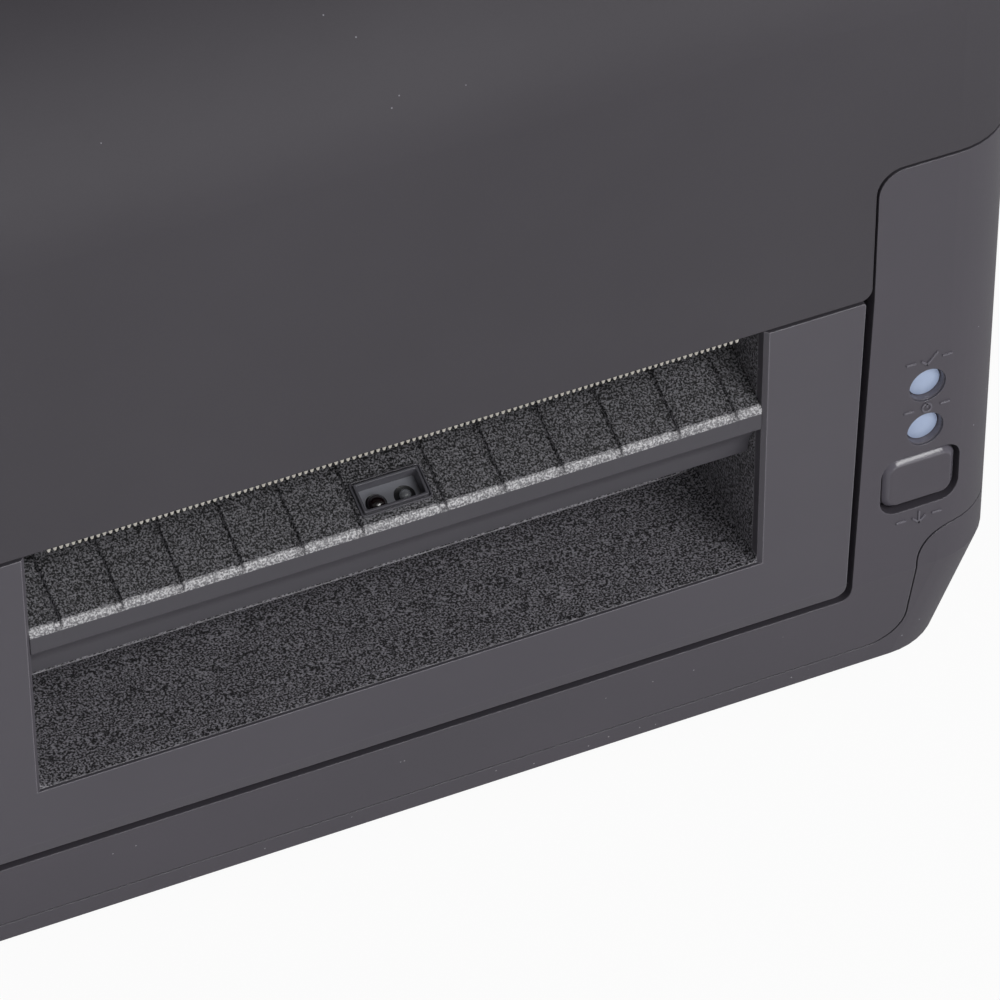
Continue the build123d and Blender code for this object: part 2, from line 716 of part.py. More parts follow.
def drive_phases():
    """Phase angles (degrees) that mesh platen gear, idler and motor pinion."""
    iy, iz = idler_place()
    to_motor = math.atan2(MOTOR_Z - iz, FRONT + MOTOR_Y - iy)
    to_platen = math.atan2(PLATEN_Z - iz, FRONT + PLATEN_Y - iy)
    offset = (to_platen - to_motor) % (2 * math.pi / IDLER_TEETH)
    pinion = to_motor + math.pi + math.pi / PINION_TEETH
    platen = to_platen + math.pi + offset * IDLER_TEETH / PLATEN_TEETH + math.pi / PLATEN_TEETH
    return math.degrees(platen), math.degrees(to_motor), math.degrees(pinion)


def drive_gear(teeth, phase, y, z, bore_r):
    """Spur gear of the paper drive."""
    gear = extrude(Plane.YZ * gear_face(teeth, MODULE, phase), amount=GEAR_W)
    return Pos(GEAR_X, y, z) * gear - rod_x(bore_r, GEAR_X - 1, GEAR_X + GEAR_W + 1, y, z)


def frame_screw_places():
    """Places of the screws that hold the side frames to the tray."""
    x = FRAME_X + FRAME_T + FRAME_FLANGE / 2
    return [(sx * x, FRONT + y) for sx in (-1, 1) for y in (FRAME_Y0 + 16, FRAME_Y1 - 10)]


def side_frame(side):
    """Steel side frame, side is -1 for the left one and 1 for the right one."""
    y0, y1 = FRONT + FRAME_Y0, FRONT + FRAME_Y1
    plate = prism_x(FRAME_X, FRAME_X + FRAME_T,
                    (y0, FLOOR_Z, 0), (y1, FLOOR_Z, 0), (y1, FRAME_TOP_Z, 4), (y0 + 8, FRAME_TOP_Z, 4),
                    (y0 + 8, PLATEN_Z - 2 * BUSH_FLANGE_R, 6), (y0, PLATEN_Z - 3 * BUSH_FLANGE_R, 4))
    flange = block(FRAME_X, FRAME_X + FRAME_T + FRAME_FLANGE, y0, y1, FLOOR_Z, FLOOR_Z + FRAME_T)
    frame = plate + flange
    frame -= rod_x(BUSH_R, FRAME_X - 1, FRAME_X + FRAME_T + 1, FRONT + PLATEN_Y, PLATEN_Z)
    for x, y in frame_screw_places()[2:]:
        frame -= rod_z(SCREW_R, 0, FLOOR_Z + 5, x, y)
    if side > 0:
        return frame
    frame = mirror(frame, Plane.YZ)
    iy, iz = idler_place()
    frame -= rod_x(MOTOR_BOSS_R, -FRAME_X - FRAME_T - 1, -FRAME_X + 1, FRONT + MOTOR_Y, MOTOR_Z)
    frame -= rod_x(IDLER_STUD_R, -FRAME_X - FRAME_T - 1, -FRAME_X + 1, iy, iz)
    for y, z in motor_screw_places():
        frame -= rod_x(SCREW_R, -FRAME_X - FRAME_T - 1, -FRAME_X + 1, y, z)
    return frame


def platen_bearing():
    """Right flanged bush of the platen shaft."""
    y, z = FRONT + PLATEN_Y, PLATEN_Z
    bush = rod_x(BUSH_R, FRAME_X - 0.5, FRAME_X + FRAME_T + BUSH_TAIL, y, z)
    bush += rod_x(BUSH_FLANGE_R, FRAME_X - BUSH_FLANGE, FRAME_X, y, z)
    return bush - rod_x(SHAFT_R + RUN_CLEARANCE, PLATEN_HALF, -GEAR_X, y, z)


def motor_screw_places():
    """Screw places (y, z) on the motor's face."""
    h = MOTOR_HOLES / 2
    return [(FRONT + MOTOR_Y + sy * h, MOTOR_Z + sz * h) for sy in (-1, 1) for sz in (-1, 1)]


def motor_body():
    """Stepper motor housing with its boss."""
    y, z = FRONT + MOTOR_Y, MOTOR_Z
    h = MOTOR_SIZE / 2
    body = prism_x(-FRAME_X, -FRAME_X + MOTOR_L,
                   (y - h, z - h, 4), (y + h, z - h, 4), (y + h, z + h, 4), (y - h, z + h, 4))
    body += rod_x(MOTOR_BOSS_R, -FRAME_X - FRAME_T, -FRAME_X, y, z)
    body -= rod_x(MOTOR_SHAFT_R + RUN_CLEARANCE, GEAR_X, -FRAME_X + MOTOR_SHAFT_IN, y, z)
    for sy, sz in motor_screw_places():
        body -= rod_x(SCREW_R, -FRAME_X - 1, -FRAME_X + 4, sy, sz)
    return body


# Media bay

def deck():
    """Level deck between the media bay and the case walls."""
    x = SIDE_X - WALL - FIT_GAP
    y0, y1 = FRONT + WALL + FIT_GAP, REAR - WALL - FIT_GAP
    r = CORNER_R - WALL
    inner = COLUMN_TOP_X + WALL + FIT_GAP
    step = FRONT + BAY_Y0
    return prism_z(DECK_TOP_Z - DECK_T, DECK_TOP_Z,
                   (-x, y0, r), (-inner, y0, 0), (-inner, step, 0), (inner, step, 0),
                   (inner, y0, 0), (x, y0, r), (x, y1, r), (-x, y1, r))


def media_bay():
    """Tub that holds the label roll, with its deck."""
    y0, y1 = FRONT + BAY_Y0, FRONT + BAY_Y1
    x, t = BAY_HALF, WALL
    tub = block(-x - t, x + t, y0, y1, BAY_FLOOR_Z - t, DECK_TOP_Z)
    hollow = block(-x, x, y0 + t, y1 - t, BAY_FLOOR_Z, CASE_H)
    path = block(-x, x, y0 - 1, y0 + t + 1, SHELF_TOP_Z - SHELF_T, CASE_H)
    bay = deck() + tub - hollow - path
    bracket = block(BRACKET_X - EAR_GAP, BRACKET_X + BRACKET_T + EAR_GAP,
                    HINGE_Y - BRACKET_R - EAR_GAP, REAR, DECK_TOP_Z - 2 * DECK_T, CASE_H)
    bay -= both_sides(bracket)
    neck = NECK_W / 2 + NECK_GAP
    for side in (-1, 1):
        y = ROLL_Y + side * NECK_Y
        inner = GUIDE_X - GUIDE_IN - GUIDE_FOOT_W
        outer = GUIDE_X + GUIDE_OUT + GUIDE_T + GUIDE_FOOT_W
        bay -= block(side * inner, side * outer, y - neck, y + neck, 0, BAY_FLOOR_Z + 1)
    return bay + rod_z(PINION_STUD_R, RACK_TOP_Z - RACK_T - 0.5, BAY_FLOOR_Z - t / 2, 0, ROLL_Y)


def media_shelf():
    """Shelf that carries the labels from the roll to the platen, slotted for the gap sensor."""
    x = FRAME_X
    z0, z1 = SHELF_TOP_Z - SHELF_T, SHELF_TOP_Z
    y0, y1 = FRONT + SHELF_Y0, FRONT + BAY_Y0 + WALL
    shelf = block(-x, x, y0, y1, z0, z1)
    shelf += block(-x, x, y0, y0 + SHELF_T, z0 - SHELF_LIP, z1)
    slot_y = FRONT + SLOT_Y
    return shelf - block(-SLOT_HALF, SLOT_HALF, slot_y - SLOT_W / 2, slot_y + SLOT_W / 2, 0, CASE_H)


def gap_sensor():
    """Sliding gap sensor: pad above the slot, neck in it, keeper below."""
    y = FRONT + SLOT_Y
    half = SENSOR_PAD / 2
    gap = SENSOR_SLIDE_GAP
    low_z = SHELF_TOP_Z - SHELF_T
    pad = Pos(0, y, SHELF_TOP_Z + gap + 0.5) * Box(SENSOR_PAD, SLOT_W + 4, 1.0)
    pad = chamfer(pad.edges().group_by(Axis.Z)[-1], 0.4)
    neck_half = SLOT_W / 2 - gap
    neck = block(-half + 1, half - 1, y - neck_half, y + neck_half, low_z - 1, SHELF_TOP_Z + gap)
    keeper = block(-half, half, y - SLOT_W / 2 - 2, y + SLOT_W / 2 + 2, low_z - 4, low_z - gap)
    eye = rod_z(1.5, SHELF_TOP_Z, SHELF_TOP_Z + 3, 0, y)
    return pad + neck + keeper - eye


def rack(x0, x1):
    """Rack of the right roll guide along X, its teeth facing the pinion."""
    bar_y = ROLL_Y + RACK_R + 1.25 * RACK_MODULE
    tip_y = ROLL_Y + RACK_R - RACK_MODULE
    z0, z1 = RACK_TOP_Z - RACK_T, RACK_TOP_Z
    bar = block(x0, x1, bar_y, bar_y + RACK_BACK, z0, z1)
    pitch = math.pi * RACK_MODULE
    half_tooth = pitch / 4 - BACKLASH / 2
    slope = math.tan(math.radians(20))
    wide = half_tooth + 1.25 * RACK_MODULE * slope
    narrow = half_tooth - RACK_MODULE * slope
    for i in range(math.ceil(x0 / pitch), math.floor(x1 / pitch)):
        centre = (i + 0.5) * pitch
        bar += prism_z(z0, z1,
                       (centre - wide, bar_y + 0.01, 0), (centre - narrow, tip_y, 0),
                       (centre + narrow, tip_y, 0), (centre + wide, bar_y + 0.01, 0))
    return bar


def media_guide(side):
    """Roll guide with its rack, side is -1 for the left one and 1 for the right one."""
    x0, x1 = GUIDE_X, GUIDE_X + GUIDE_T
    y = ROLL_Y
    low = BAY_FLOOR_Z + 0.3
    half = GUIDE_BASE_W / 2
    round_r = HUB_R + HUB_FLANGE
    shoulder_z = low + GUIDE_BASE_W / 4
    plate = prism_x(x0, x1,
                    (y - half, low, 2), (y + half, low, 2), (y + half, shoulder_z, 10),
                    (y + round_r + 1, HUB_Z + round_r, round_r), (y - round_r - 1, HUB_Z + round_r, round_r),
                    (y - half, shoulder_z, 10))
    foot = block(x0 - GUIDE_FOOT_W, x1 + GUIDE_FOOT_W, y - half + 3, y + half - 3, low, low + GUIDE_FOOT_H)
    stud = rod_x(HUB_STUD_R, x0 - HUB_L - 1, x0 + 0.5, y, HUB_Z)
    neck_y = y + NECK_Y
    neck = block(x0 - GUIDE_FOOT_W + 1, x1 + GUIDE_FOOT_W - 1, neck_y - NECK_W / 2, neck_y + NECK_W / 2,
                 RACK_TOP_Z - RACK_T, low + 1)
    guide = plate + foot + stud + neck + rack(-RACK_OVERLAP, x1 + GUIDE_FOOT_W - 1)
    if side > 0:
        return guide
    return Pos(0, 2 * y, 0) * Rot(0, 0, 180) * guide


def guide_pinion():
    """Pinion that ties the two roll guides together."""
    pinion = extrude(gear_face(RACK_TEETH, RACK_MODULE, 90), amount=RACK_T)
    pinion = Pos(0, ROLL_Y, RACK_TOP_Z - RACK_T) * pinion
    return pinion - rod_z(PINION_STUD_R + RUN_CLEARANCE, 0, CASE_H, 0, ROLL_Y)


def roll_hub():
    """Right roll hub, turning on the guide's stud."""
    x1 = GUIDE_X - HUB_GAP
    hub = rod_x(HUB_R, x1 - HUB_L, x1, ROLL_Y, HUB_Z)
    hub = chamfer(hub.edges().group_by(Axis.X)[0], HUB_L / 8)
    hub += rod_x(HUB_R + HUB_FLANGE, x1 - HUB_L / 8, x1, ROLL_Y, HUB_Z)
    return hub - rod_x(HUB_STUD_R + RUN_CLEARANCE, 0, FRAME_X, ROLL_Y, HUB_Z)


# Hinge and cover

def hinge_bracket():
    """Right hinge bracket: upright plate with a screw flange on the rear wall."""
    x0, x1 = BRACKET_X, BRACKET_X + BRACKET_T
    r = BRACKET_R
    y, z = HINGE_Y, HINGE_Z
    wall_y = REAR - WALL
    low_z = z - BRACKET_DROP
    upright = prism_x(x0, x1,
                      (y - r, z - 3 * r, 0), (y - r, z + r, r - 0.1),
                      (y + r, z + r, r - 0.1), (y + r, z - 2 * r, 2),
                      (wall_y, DECK_TOP_Z - 2 * DECK_T, 0), (wall_y, low_z, 0), (wall_y - BARREL_R, low_z, 4))
    flange = block(x0 - BRACKET_FLANGE, x1, wall_y - WALL, wall_y, low_z, DECK_TOP_Z - DECK_T - 1)
    bracket = upright + flange - rod_x(HINGE_PIN_R, x0 - 1, x1 + 1, y, z)
    for drop in HINGE_SCREW_DROPS:
        bracket -= rod_y(SCREW_R, wall_y - 2 * WALL, wall_y + 1, x0 - BRACKET_FLANGE / 2, z - drop)
    return bracket


def hinge_pins():
    """Two pins fixed in the brackets; the cover's ears turn on their inner ends."""
    pin = rod_x(HINGE_PIN_R, EAR_X, BRACKET_X + BRACKET_T, HINGE_Y, HINGE_Z)
    pin = chamfer(pin.edges().group_by(Axis.X)[0], HINGE_PIN_R / 6)
    return Compound(children=[pin, mirror(pin, Plane.YZ)])


def cover_block(inset, z_low):
    """Outside or inside form of the cover, with its rounded side edges."""
    front_centre = (FRONT + FRONT_RUN, CASE_H - COVER_CROWN)
    back_y = HINGE_Y + BARREL_R
    rear_centre = (back_y - REAR_RUN, HINGE_Z)
    rear_rise = CASE_H - HINGE_Z
    edges = [
        Line((FRONT + inset, z_low), (FRONT + inset, front_centre[1])),
        EllipticalCenterArc(front_centre, FRONT_RUN - inset, COVER_CROWN - inset, start_angle=90, arc_size=90),
        Line((front_centre[0], CASE_H - inset), (rear_centre[0], CASE_H - inset)),
        EllipticalCenterArc(rear_centre, REAR_RUN - inset, rear_rise - inset, start_angle=0, arc_size=90),
        Line((back_y - inset, HINGE_Z), (back_y - inset, z_low)),
        Line((back_y - inset, z_low), (FRONT + inset, z_low)),
    ]
    half = SIDE_X - inset
    solid = Pos(-half, 0, 0) * extrude(Plane.YZ * make_face(edges), amount=2 * half)
    rims = [e for e in solid.edges() if abs(abs(e.center().X) - half) < 1e-3 and e.center().Z > z_low + 1e-3]
    return fillet(rims, CORNER_R - inset)


def column_outline(grow):
    """Columns and side walls seen from the front, grown by a gap, for trimming the cover."""
    x = COLUMN_TOP_X - grow
    r = COLUMN_ARC_R
    z = SIDE_TOP_Z + COVER_GAP
    right = block(x, CASE_W, FRONT - 1, REAR, 0, z)
    corner = block(x - 1, x + r, FRONT - 2, REAR + 1, z - r, z + 1)
    right -= corner - rod_y(r, FRONT - 3, REAR + 2, x + r, z - r)
    return both_sides(right)


def top_cover():
    """Hinged top cover with its front tongue, hinge barrel, ears and carrier posts."""
    low = PANEL_TOP_Z + COVER_GAP + 0.2
    outer = cover_block(0, low)
    inner = cover_block(WALL, low - 10)
    shell = outer - inner
    shell -= column_outline(COVER_GAP)
    shell -= block(-CASE_W, CASE_W, FRONT + 30, REAR + 1, 0, SIDE_TOP_Z + COVER_GAP)
    tongue_x = COLUMN_TOP_X - COVER_GAP
    nib = block(tongue_x - TONGUE_R, tongue_x + 1, FRONT - 1, FRONT + WALL + 1, low - 1, low + TONGUE_R)
    nib -= rod_y(TONGUE_R, FRONT - 2, FRONT + WALL + 2, tongue_x - TONGUE_R, low + TONGUE_R)
    shell -= both_sides(nib)
    barrel = rod_x(BARREL_R, -SIDE_X, SIDE_X, HINGE_Y, HINGE_Z)
    round_off = RectangleRounded(CASE_W, 2 * (HINGE_Y + BARREL_R), CORNER_R)
    barrel &= Pos(0, 0, HINGE_Z - CORNER_R) * extrude(round_off, 2 * CORNER_R)
    hollow_x = BRACKET_X + BRACKET_T + EAR_GAP
    barrel -= rod_x(BARREL_R - WALL, -hollow_x, hollow_x, HINGE_Y, HINGE_Z)
    rear_in = HINGE_Y + BARREL_R - WALL
    barrel -= block(-SIDE_X, SIDE_X, HINGE_Y - 2 * BARREL_R, rear_in, HINGE_Z, CASE_H) & inner
    shell += barrel
    rib = prism_x(EAR_X, EAR_X + WALL,
                  (HINGE_Y - 5 * BARREL_R, SIDE_TOP_Z + 1, 0), (HINGE_Y, HINGE_Z - BARREL_R + 1, 0),
                  (HINGE_Y + BARREL_R - 1, HINGE_Z, 0), (HINGE_Y + BARREL_R - 1, CASE_H, 0),
                  (HINGE_Y - 5 * BARREL_R, CASE_H, 0))
    ears = (rib & outer) + rod_x(BARREL_R - 0.5, EAR_X, BRACKET_X - EAR_GAP, HINGE_Y, HINGE_Z)
    shell += both_sides(ears)
    shell -= both_sides(rod_x(HINGE_PIN_R + RUN_CLEARANCE, EAR_X - 1, BRACKET_X, HINGE_Y, HINGE_Z))
    slot = block(BRACKET_X - EAR_GAP, BRACKET_X + BRACKET_T + EAR_GAP, HINGE_Y - 20, REAR, 0,
                 HINGE_Z + HINGE_INSET)
    shell -= both_sides(slot)
    for x, y in CARRIER_POSTS:
        post = rod_z(POST_R, CARRIER_Z + CARRIER_T, CASE_H, x, y) & outer
        shell += post
        shell -= rod_z(SCREW_R, CARRIER_Z, CARRIER_Z + CARRIER_SCREW_L, x, y)
    pocket = block(-TEAR_HALF, TEAR_HALF, FRONT + TEAR_Y, FRONT + WALL + 1, 0, CARRIER_Z)
    return shell - pocket


def tear_bar():
    """Folded steel strip with a saw edge that hangs just below the cover's front edge."""
    y0 = FRONT + TEAR_Y
    tip = PANEL_TOP_Z - TEAR_TIP_DROP
    root = tip + TEAR_TOOTH
    teeth = int(round(2 * TEAR_HALF / TEAR_PITCH))
    points = [(TEAR_HALF, CARRIER_Z), (-TEAR_HALF, CARRIER_Z), (-TEAR_HALF, root)]
    for i in range(teeth):
        points.append((-TEAR_HALF + (i + 0.5) * TEAR_PITCH, tip))
        points.append((-TEAR_HALF + (i + 1) * TEAR_PITCH, root))
    face = Plane.XZ * make_face(Polyline(*points, close=True))
    blade = Pos(0, y0, 0) * extrude(face, amount=-TEAR_T)
    flange = block(-TEAR_HALF, TEAR_HALF, y0, y0 + TEAR_FLANGE, CARRIER_Z - TEAR_T, CARRIER_Z)
    bar = blade + flange
    for x, y in tear_screw_places():
        bar -= rod_z(SCREW_R, 0, CASE_H, x, y)
    return bar


def tear_screw_places():
    """Screws that hold the tear bar to the carrier."""
    return [(sx * TEAR_HALF / 2, FRONT + TEAR_Y + TEAR_FLANGE - SCREW_HEAD_R - 1.2) for sx in (-1, 1)]


def head_carrier():
    """Moulded carrier under the cover for the tear bar and the print head."""
    y0, y1 = FRONT + WALL, FRONT + CARRIER_D
    plate = block(-CARRIER_HALF, CARRIER_HALF, y0, y1, CARRIER_Z, CARRIER_Z + CARRIER_T)
    pivot_y = FRONT + HEAD_PIVOT_Y
    cheek = prism_x(CHEEK_X, CHEEK_X + CHEEK_T,
                    (pivot_y - 14, CARRIER_Z + 0.5, 0), (pivot_y - 5, HEAD_PIVOT_Z - 5, 4),
                    (pivot_y + 5, HEAD_PIVOT_Z - 5, 4), (pivot_y + 8, CARRIER_Z + 0.5, 0))
    carrier = plate + both_sides(cheek)
    carrier -= rod_x(HEAD_PIVOT_R, -FRAME_X, FRAME_X, pivot_y, HEAD_PIVOT_Z)
    for x, y in CARRIER_POSTS:
        carrier -= rod_z(SCREW_R, 0, CASE_H, x, y)
    for x, y in tear_screw_places():
        carrier -= rod_z(SCREW_R, 0, CARRIER_Z + 2.5, x, y)
    return carrier


def head_low_z():
    """Underside of the print head, just clear of the platen."""
    return PLATEN_Z + PLATEN_R + HEAD_GAP


def printhead_board():
    """Ceramic heater board of the print head."""
    z = head_low_z()
    y = FRONT + HEAD_Y0
    return block(-HEAD_HALF + 1, HEAD_HALF - 1, y, y + HEAD_BOARD_D, z, z + HEAD_BOARD_T)


def printhead_sink():
    """Finned aluminium heat sink of the print head with its two pivot arms."""
    z0 = head_low_z() + HEAD_BOARD_T
    z1 = z0 + HEAD_SINK_H
    y0, y1 = FRONT + HEAD_Y0, FRONT + HEAD_Y1
    sink = block(-HEAD_HALF, HEAD_HALF, y0, y1, z0, z1)
    fin_y = y0 + FIN_SLOT
    while fin_y + FIN_SLOT < FRONT + SPRING_Y - SPRING_R - SPRING_WIRE:
        sink -= block(-HEAD_HALF - 1, HEAD_HALF + 1, fin_y, fin_y + FIN_SLOT, z1 - HEAD_SINK_H / 2, z1 + 1)
        fin_y += FIN_PITCH
    y, z, r = FRONT + HEAD_PIVOT_Y, HEAD_PIVOT_Z, ARM_R
    root_y = y1 - 6.0
    arm = prism_x(HEAD_HALF - 1, HEAD_HALF - 1 + ARM_T,
                  (root_y, z0 + 0.5, 0), (y1 - 1, z0 + 0.5, 2), (y + r, z - r + 0.5, 4),
                  (y + r, z + r, r - 0.1), (y - r, z + r, r - 0.1), (root_y, z1 - 1, 2))
    sink += both_sides(arm)
    return sink - rod_x(HEAD_PIVOT_R + RUN_CLEARANCE, -FRAME_X, FRAME_X, y, z)


def head_pivot_pins():
    """Two pins fixed in the carrier's cheeks that the print head tilts on."""
    pin = rod_x(HEAD_PIVOT_R, HEAD_HALF - 1.5, CHEEK_X + CHEEK_T, FRONT + HEAD_PIVOT_Y, HEAD_PIVOT_Z)
    return Compound(children=[pin, mirror(pin, Plane.YZ)])


def head_springs():
    """Two coil springs between the carrier and the print head."""
    z0 = head_low_z() + HEAD_BOARD_T + HEAD_SINK_H + SPRING_WIRE / 2
    height = CARRIER_Z - SPRING_WIRE / 2 - z0
    path = Helix(height / SPRING_TURNS, height, SPRING_R)
    wire = sweep(Plane(path @ 0, z_dir=path % 0) * Circle(SPRING_WIRE / 2), path)
    springs = [Pos(sx * SPRING_X, FRONT + SPRING_Y, z0) * wire for sx in (-1, 1)]
    return Compound(children=springs)


# Controls

def status_lens(drop):
    """Light pipe with a domed face, from the control board to the column's front."""
    z = PANEL_TOP_Z - drop
    y0 = FRONT + LED_RECESS + LED_DOME
    pipe = rod_y(LED_R, y0, FRONT + WALL + 1.5, LED_X, z)
    pipe += rod_y(LED_R - 0.6, FRONT + WALL, FRONT + CONTROL_Y, LED_X, z)
    ball_r = (LED_R ** 2 + LED_DOME ** 2) / (2 * LED_DOME)
    dome = Pos(LED_X, y0 - LED_DOME + ball_r, z) * Sphere(ball_r)
    dome &= rod_y(LED_R, y0 - LED_DOME - 1, y0 + 0.5, LED_X, z)
    return pipe + dome


def control_board():
    """Small upright circuit board behind the right column."""
    y = FRONT + CONTROL_Y
    board = block(CONTROL_X0, CONTROL_X1, y, y + BOARD_T, CONTROL_Z1 - CONTROL_H, CONTROL_Z1)
    for x, z in CONTROL_POSTS:
        board -= rod_y(CONTROL_SCREW_R, y - 1, y + BOARD_T + 1, x, z)
    return board


def control_screws():
    """Screws of the control board."""
    y = FRONT + CONTROL_Y + BOARD_T
    screws = []
    for x, z in CONTROL_POSTS:
        head = rod_y(2 * CONTROL_SCREW_R, y, y + 1.4, x, z)
        screws.append(head + rod_y(CONTROL_SCREW_R, y - CONTROL_SCREW_L, y, x, z))
    return Compound(children=screws)


def tact_switch():
    """Push switch behind the feed button."""
    y = FRONT + CONTROL_Y
    half = SWITCH_BODY / 2
    tip_y = y - SWITCH_BODY_H - SWITCH_TIP_H
    body = block(BUTTON_X - half, BUTTON_X + half, y - SWITCH_BODY_H, y, BUTTON_Z - half, BUTTON_Z + half)
    return body + rod_y(SWITCH_BODY / 3.5, tip_y, y - SWITCH_BODY_H, BUTTON_X, BUTTON_Z)


def feed_button():
    """Bevelled feed button with its retaining flange and stem."""
    x, z = BUTTON_X, BUTTON_Z
    w, h = BUTTON_W / 2 + BUTTON_LIP, BUTTON_H / 2 + 2 * BUTTON_LIP
    y_flange = FRONT + WALL + 0.8
    cap = prism_y(FRONT + 0.1, y_flange + 0.5, *button_outline(0))
    cap = chamfer(cap.edges().group_by(Axis.Y)[0], BUTTON_BEVEL)
    flange = block(x - w, x + w, y_flange, y_flange + 1.2, z - h, z + h)
    stem_end = FRONT + CONTROL_Y - SWITCH_BODY_H - SWITCH_TIP_H - BUTTON_TRAVEL - 0.3
    return cap + flange + rod_y(2.0, y_flange, stem_end, x, z)


# Electronics and rear connectors

def main_board():
    """Main circuit board on the tray's posts."""
    half = MAIN_BOARD_HALF
    board = block(-half, half, MAIN_BOARD_Y0, MAIN_BOARD_Y1, MAIN_BOARD_Z, MAIN_BOARD_Z + BOARD_T)
    for x, y in BOARD_POSTS:
        board -= rod_z(SCREW_R, 0, CASE_H, x, y)
    return board


# Parts on the main board: x, distance from its front edge, width, depth, height
BOARD_CHIPS = (
    (-20.0, 48.0, 22.0, 22.0, 2.0),
    (18.0, 58.0, 14.0, 20.0, 2.0),
    (-34.0, 108.0, 12.0, 8.0, 2.5),
    (30.0, 106.0, 10.0, 10.0, 8.0),
    (6.0, 114.0, 9.0, 9.0, 11.0),
    (-8.0, 128.0, 9.0, 9.0, 11.0),
    (0.0, 6.0, 40.0, 5.0, 6.0),
)


def board_parts():
    """Chips, coils and headers on the main board."""
    z = MAIN_BOARD_Z + BOARD_T
    chips = []
    for x, from_front, w, d, h in BOARD_CHIPS:
        y = MAIN_BOARD_Y0 + from_front
        chips.append(block(x - w / 2, x + w / 2, y - d / 2, y + d / 2, z, z + h))
    return Compound(children=chips)


def io_plate():
    """Rear plate around the connectors and the power switch."""
    half = IO_HALF + 4
    y0, y1 = IO_PLATE_Y - IO_PLATE_T, IO_PLATE_Y
    plate = block(-half, half, y0, y1, IO_LOW_Z - IO_RIM, IO_HIGH_Z + 4)
    for x, (w, h, _) in ((USB_X, USB_SIZE), (NET_X, NET_SIZE), (DC_X, DC_SIZE)):
        plate -= block(x - w / 2, x + w / 2, y0 - 1, y1 + 1, SOCKET_Z, SOCKET_Z + h)
    w, h = SWITCH_W / 2, SWITCH_H / 2
    return plate - block(SWITCH_X - w, SWITCH_X + w, y0 - 1, y1 + 1, SWITCH_Z - h, SWITCH_Z + h)


def socket_block(x, size):
    """Plain connector housing standing on the main board."""
    width, height, depth = size
    return block(x - width / 2, x + width / 2, SOCKET_Y - depth, SOCKET_Y, SOCKET_Z, SOCKET_Z + height)


def usb_socket():
    """Square data socket with its tongue."""
    x, y1 = USB_X, SOCKET_Y
    z = SOCKET_Z + USB_SIZE[1] / 2
    mouth = prism_y(y1 - 9, y1 + 1,
                    (x - 4.2, z - 3.9, 0), (x + 4.2, z - 3.9, 0), (x + 4.2, z + 2.2, 0),
                    (x + 2.5, z + 3.9, 0), (x - 2.5, z + 3.9, 0), (x - 4.2, z + 2.2, 0))
    tongue = block(x - 2.8, x + 2.8, y1 - 9.5, y1 - 1, z - 1.6, z + 1.6)
    return socket_block(x, USB_SIZE) - mouth + tongue


def network_socket():
    """Network socket with its keyway."""
    x, y1, z = NET_X, SOCKET_Y, SOCKET_Z
    body = socket_block(x, NET_SIZE)
    body -= block(x - 5.9, x + 5.9, y1 - 12, y1 + 1, z + 3.2, z + 11.6)
    return body - block(x - 3.0, x + 3.0, y1 - 12, y1 + 1, z + 1.4, z + 4)


def dc_jack():
    """Power jack with its centre pin."""
    y1 = SOCKET_Y
    z = SOCKET_Z + DC_SIZE[1] / 2
    body = socket_block(DC_X, DC_SIZE) - rod_y(DC_BORE_R, y1 - 10, y1 + 1, DC_X, z)
    return body + rod_y(DC_PIN_R, y1 - 10.5, y1 - 1, DC_X, z)


def rocker_axis_y():
    """Place of the rocker's pin behind the rear plate's face."""
    return IO_PLATE_Y - ROCKER_T / 4


def switch_housing():
    """Housing of the power rocker switch."""
    x, z, y1 = SWITCH_X, SWITCH_Z, IO_PLATE_Y
    w, h = SWITCH_W / 2, SWITCH_H / 2
    rim = SWITCH_RIM
    body = block(x - w, x + w, y1 - SWITCH_D, y1, z - h, z + h)
    frame = block(x - w - rim, x + w + rim, y1, y1 + rim, z - h - rim, z + h + rim)
    body += chamfer(frame.edges().group_by(Axis.Y)[-1], 0.4 * rim)
    inner_w, inner_h = w - SWITCH_WALL, h - SWITCH_RIM + 0.1
    body -= block(x - inner_w, x + inner_w, y1 - SWITCH_D / 2, y1 + 2, z - inner_h, z + inner_h)
    return body - rod_z(ROCKER_PIN_R + RUN_CLEARANCE, z - h + 0.2, z + h - 0.2, x, rocker_axis_y())


def power_rocker():
    """Power rocker in its off position."""
    w, t = ROCKER_W / 2, ROCKER_T / 2
    h = SWITCH_H / 2 - SWITCH_RIM + 0.1 - ROCKER_GAP
    z = SWITCH_Z
    rocker = prism_z(z - h, z + h, (-w, -t, 0), (w, -t, 0), (w, t, 1.0), (0, t - 1, 0), (-w, t, 1.0))
    pin_h = SWITCH_H / 2 - 0.4
    rocker += rod_z(ROCKER_PIN_R, z - pin_h, z + pin_h, 0, 0)
    return Pos(SWITCH_X, rocker_axis_y(), 0) * Rot(0, 0, -SWITCH_TILT) * rocker


# Screws

def screws_at(places, length, turn):
    """Group of screws at the given places, turned to face their heads outward."""
    return Compound(children=[Pos(*place) * turn * screw(length) for place in places])


def frame_screws():
    """Screws through the side frames' flanges."""
    z = FLOOR_Z + FRAME_T
    return screws_at([(x, y, z) for x, y in frame_screw_places()], FRAME_T + 0.8 * WALL, Rot(0, 0, 0))


def board_screws():
    """Screws of the main board."""
    z = MAIN_BOARD_Z + BOARD_T
    return screws_at([(x, y, z) for x, y in BOARD_POSTS], BOARD_T + BOARD_LIFT, Rot(0, 0, 0))


def case_screws():
    """Long screws that hold the main case down on the tray."""
    return screws_at([(x, y, POST_SEAT_Z) for x, y in CASE_POSTS], CASE_SCREW_L, Rot(180, 0, 0))


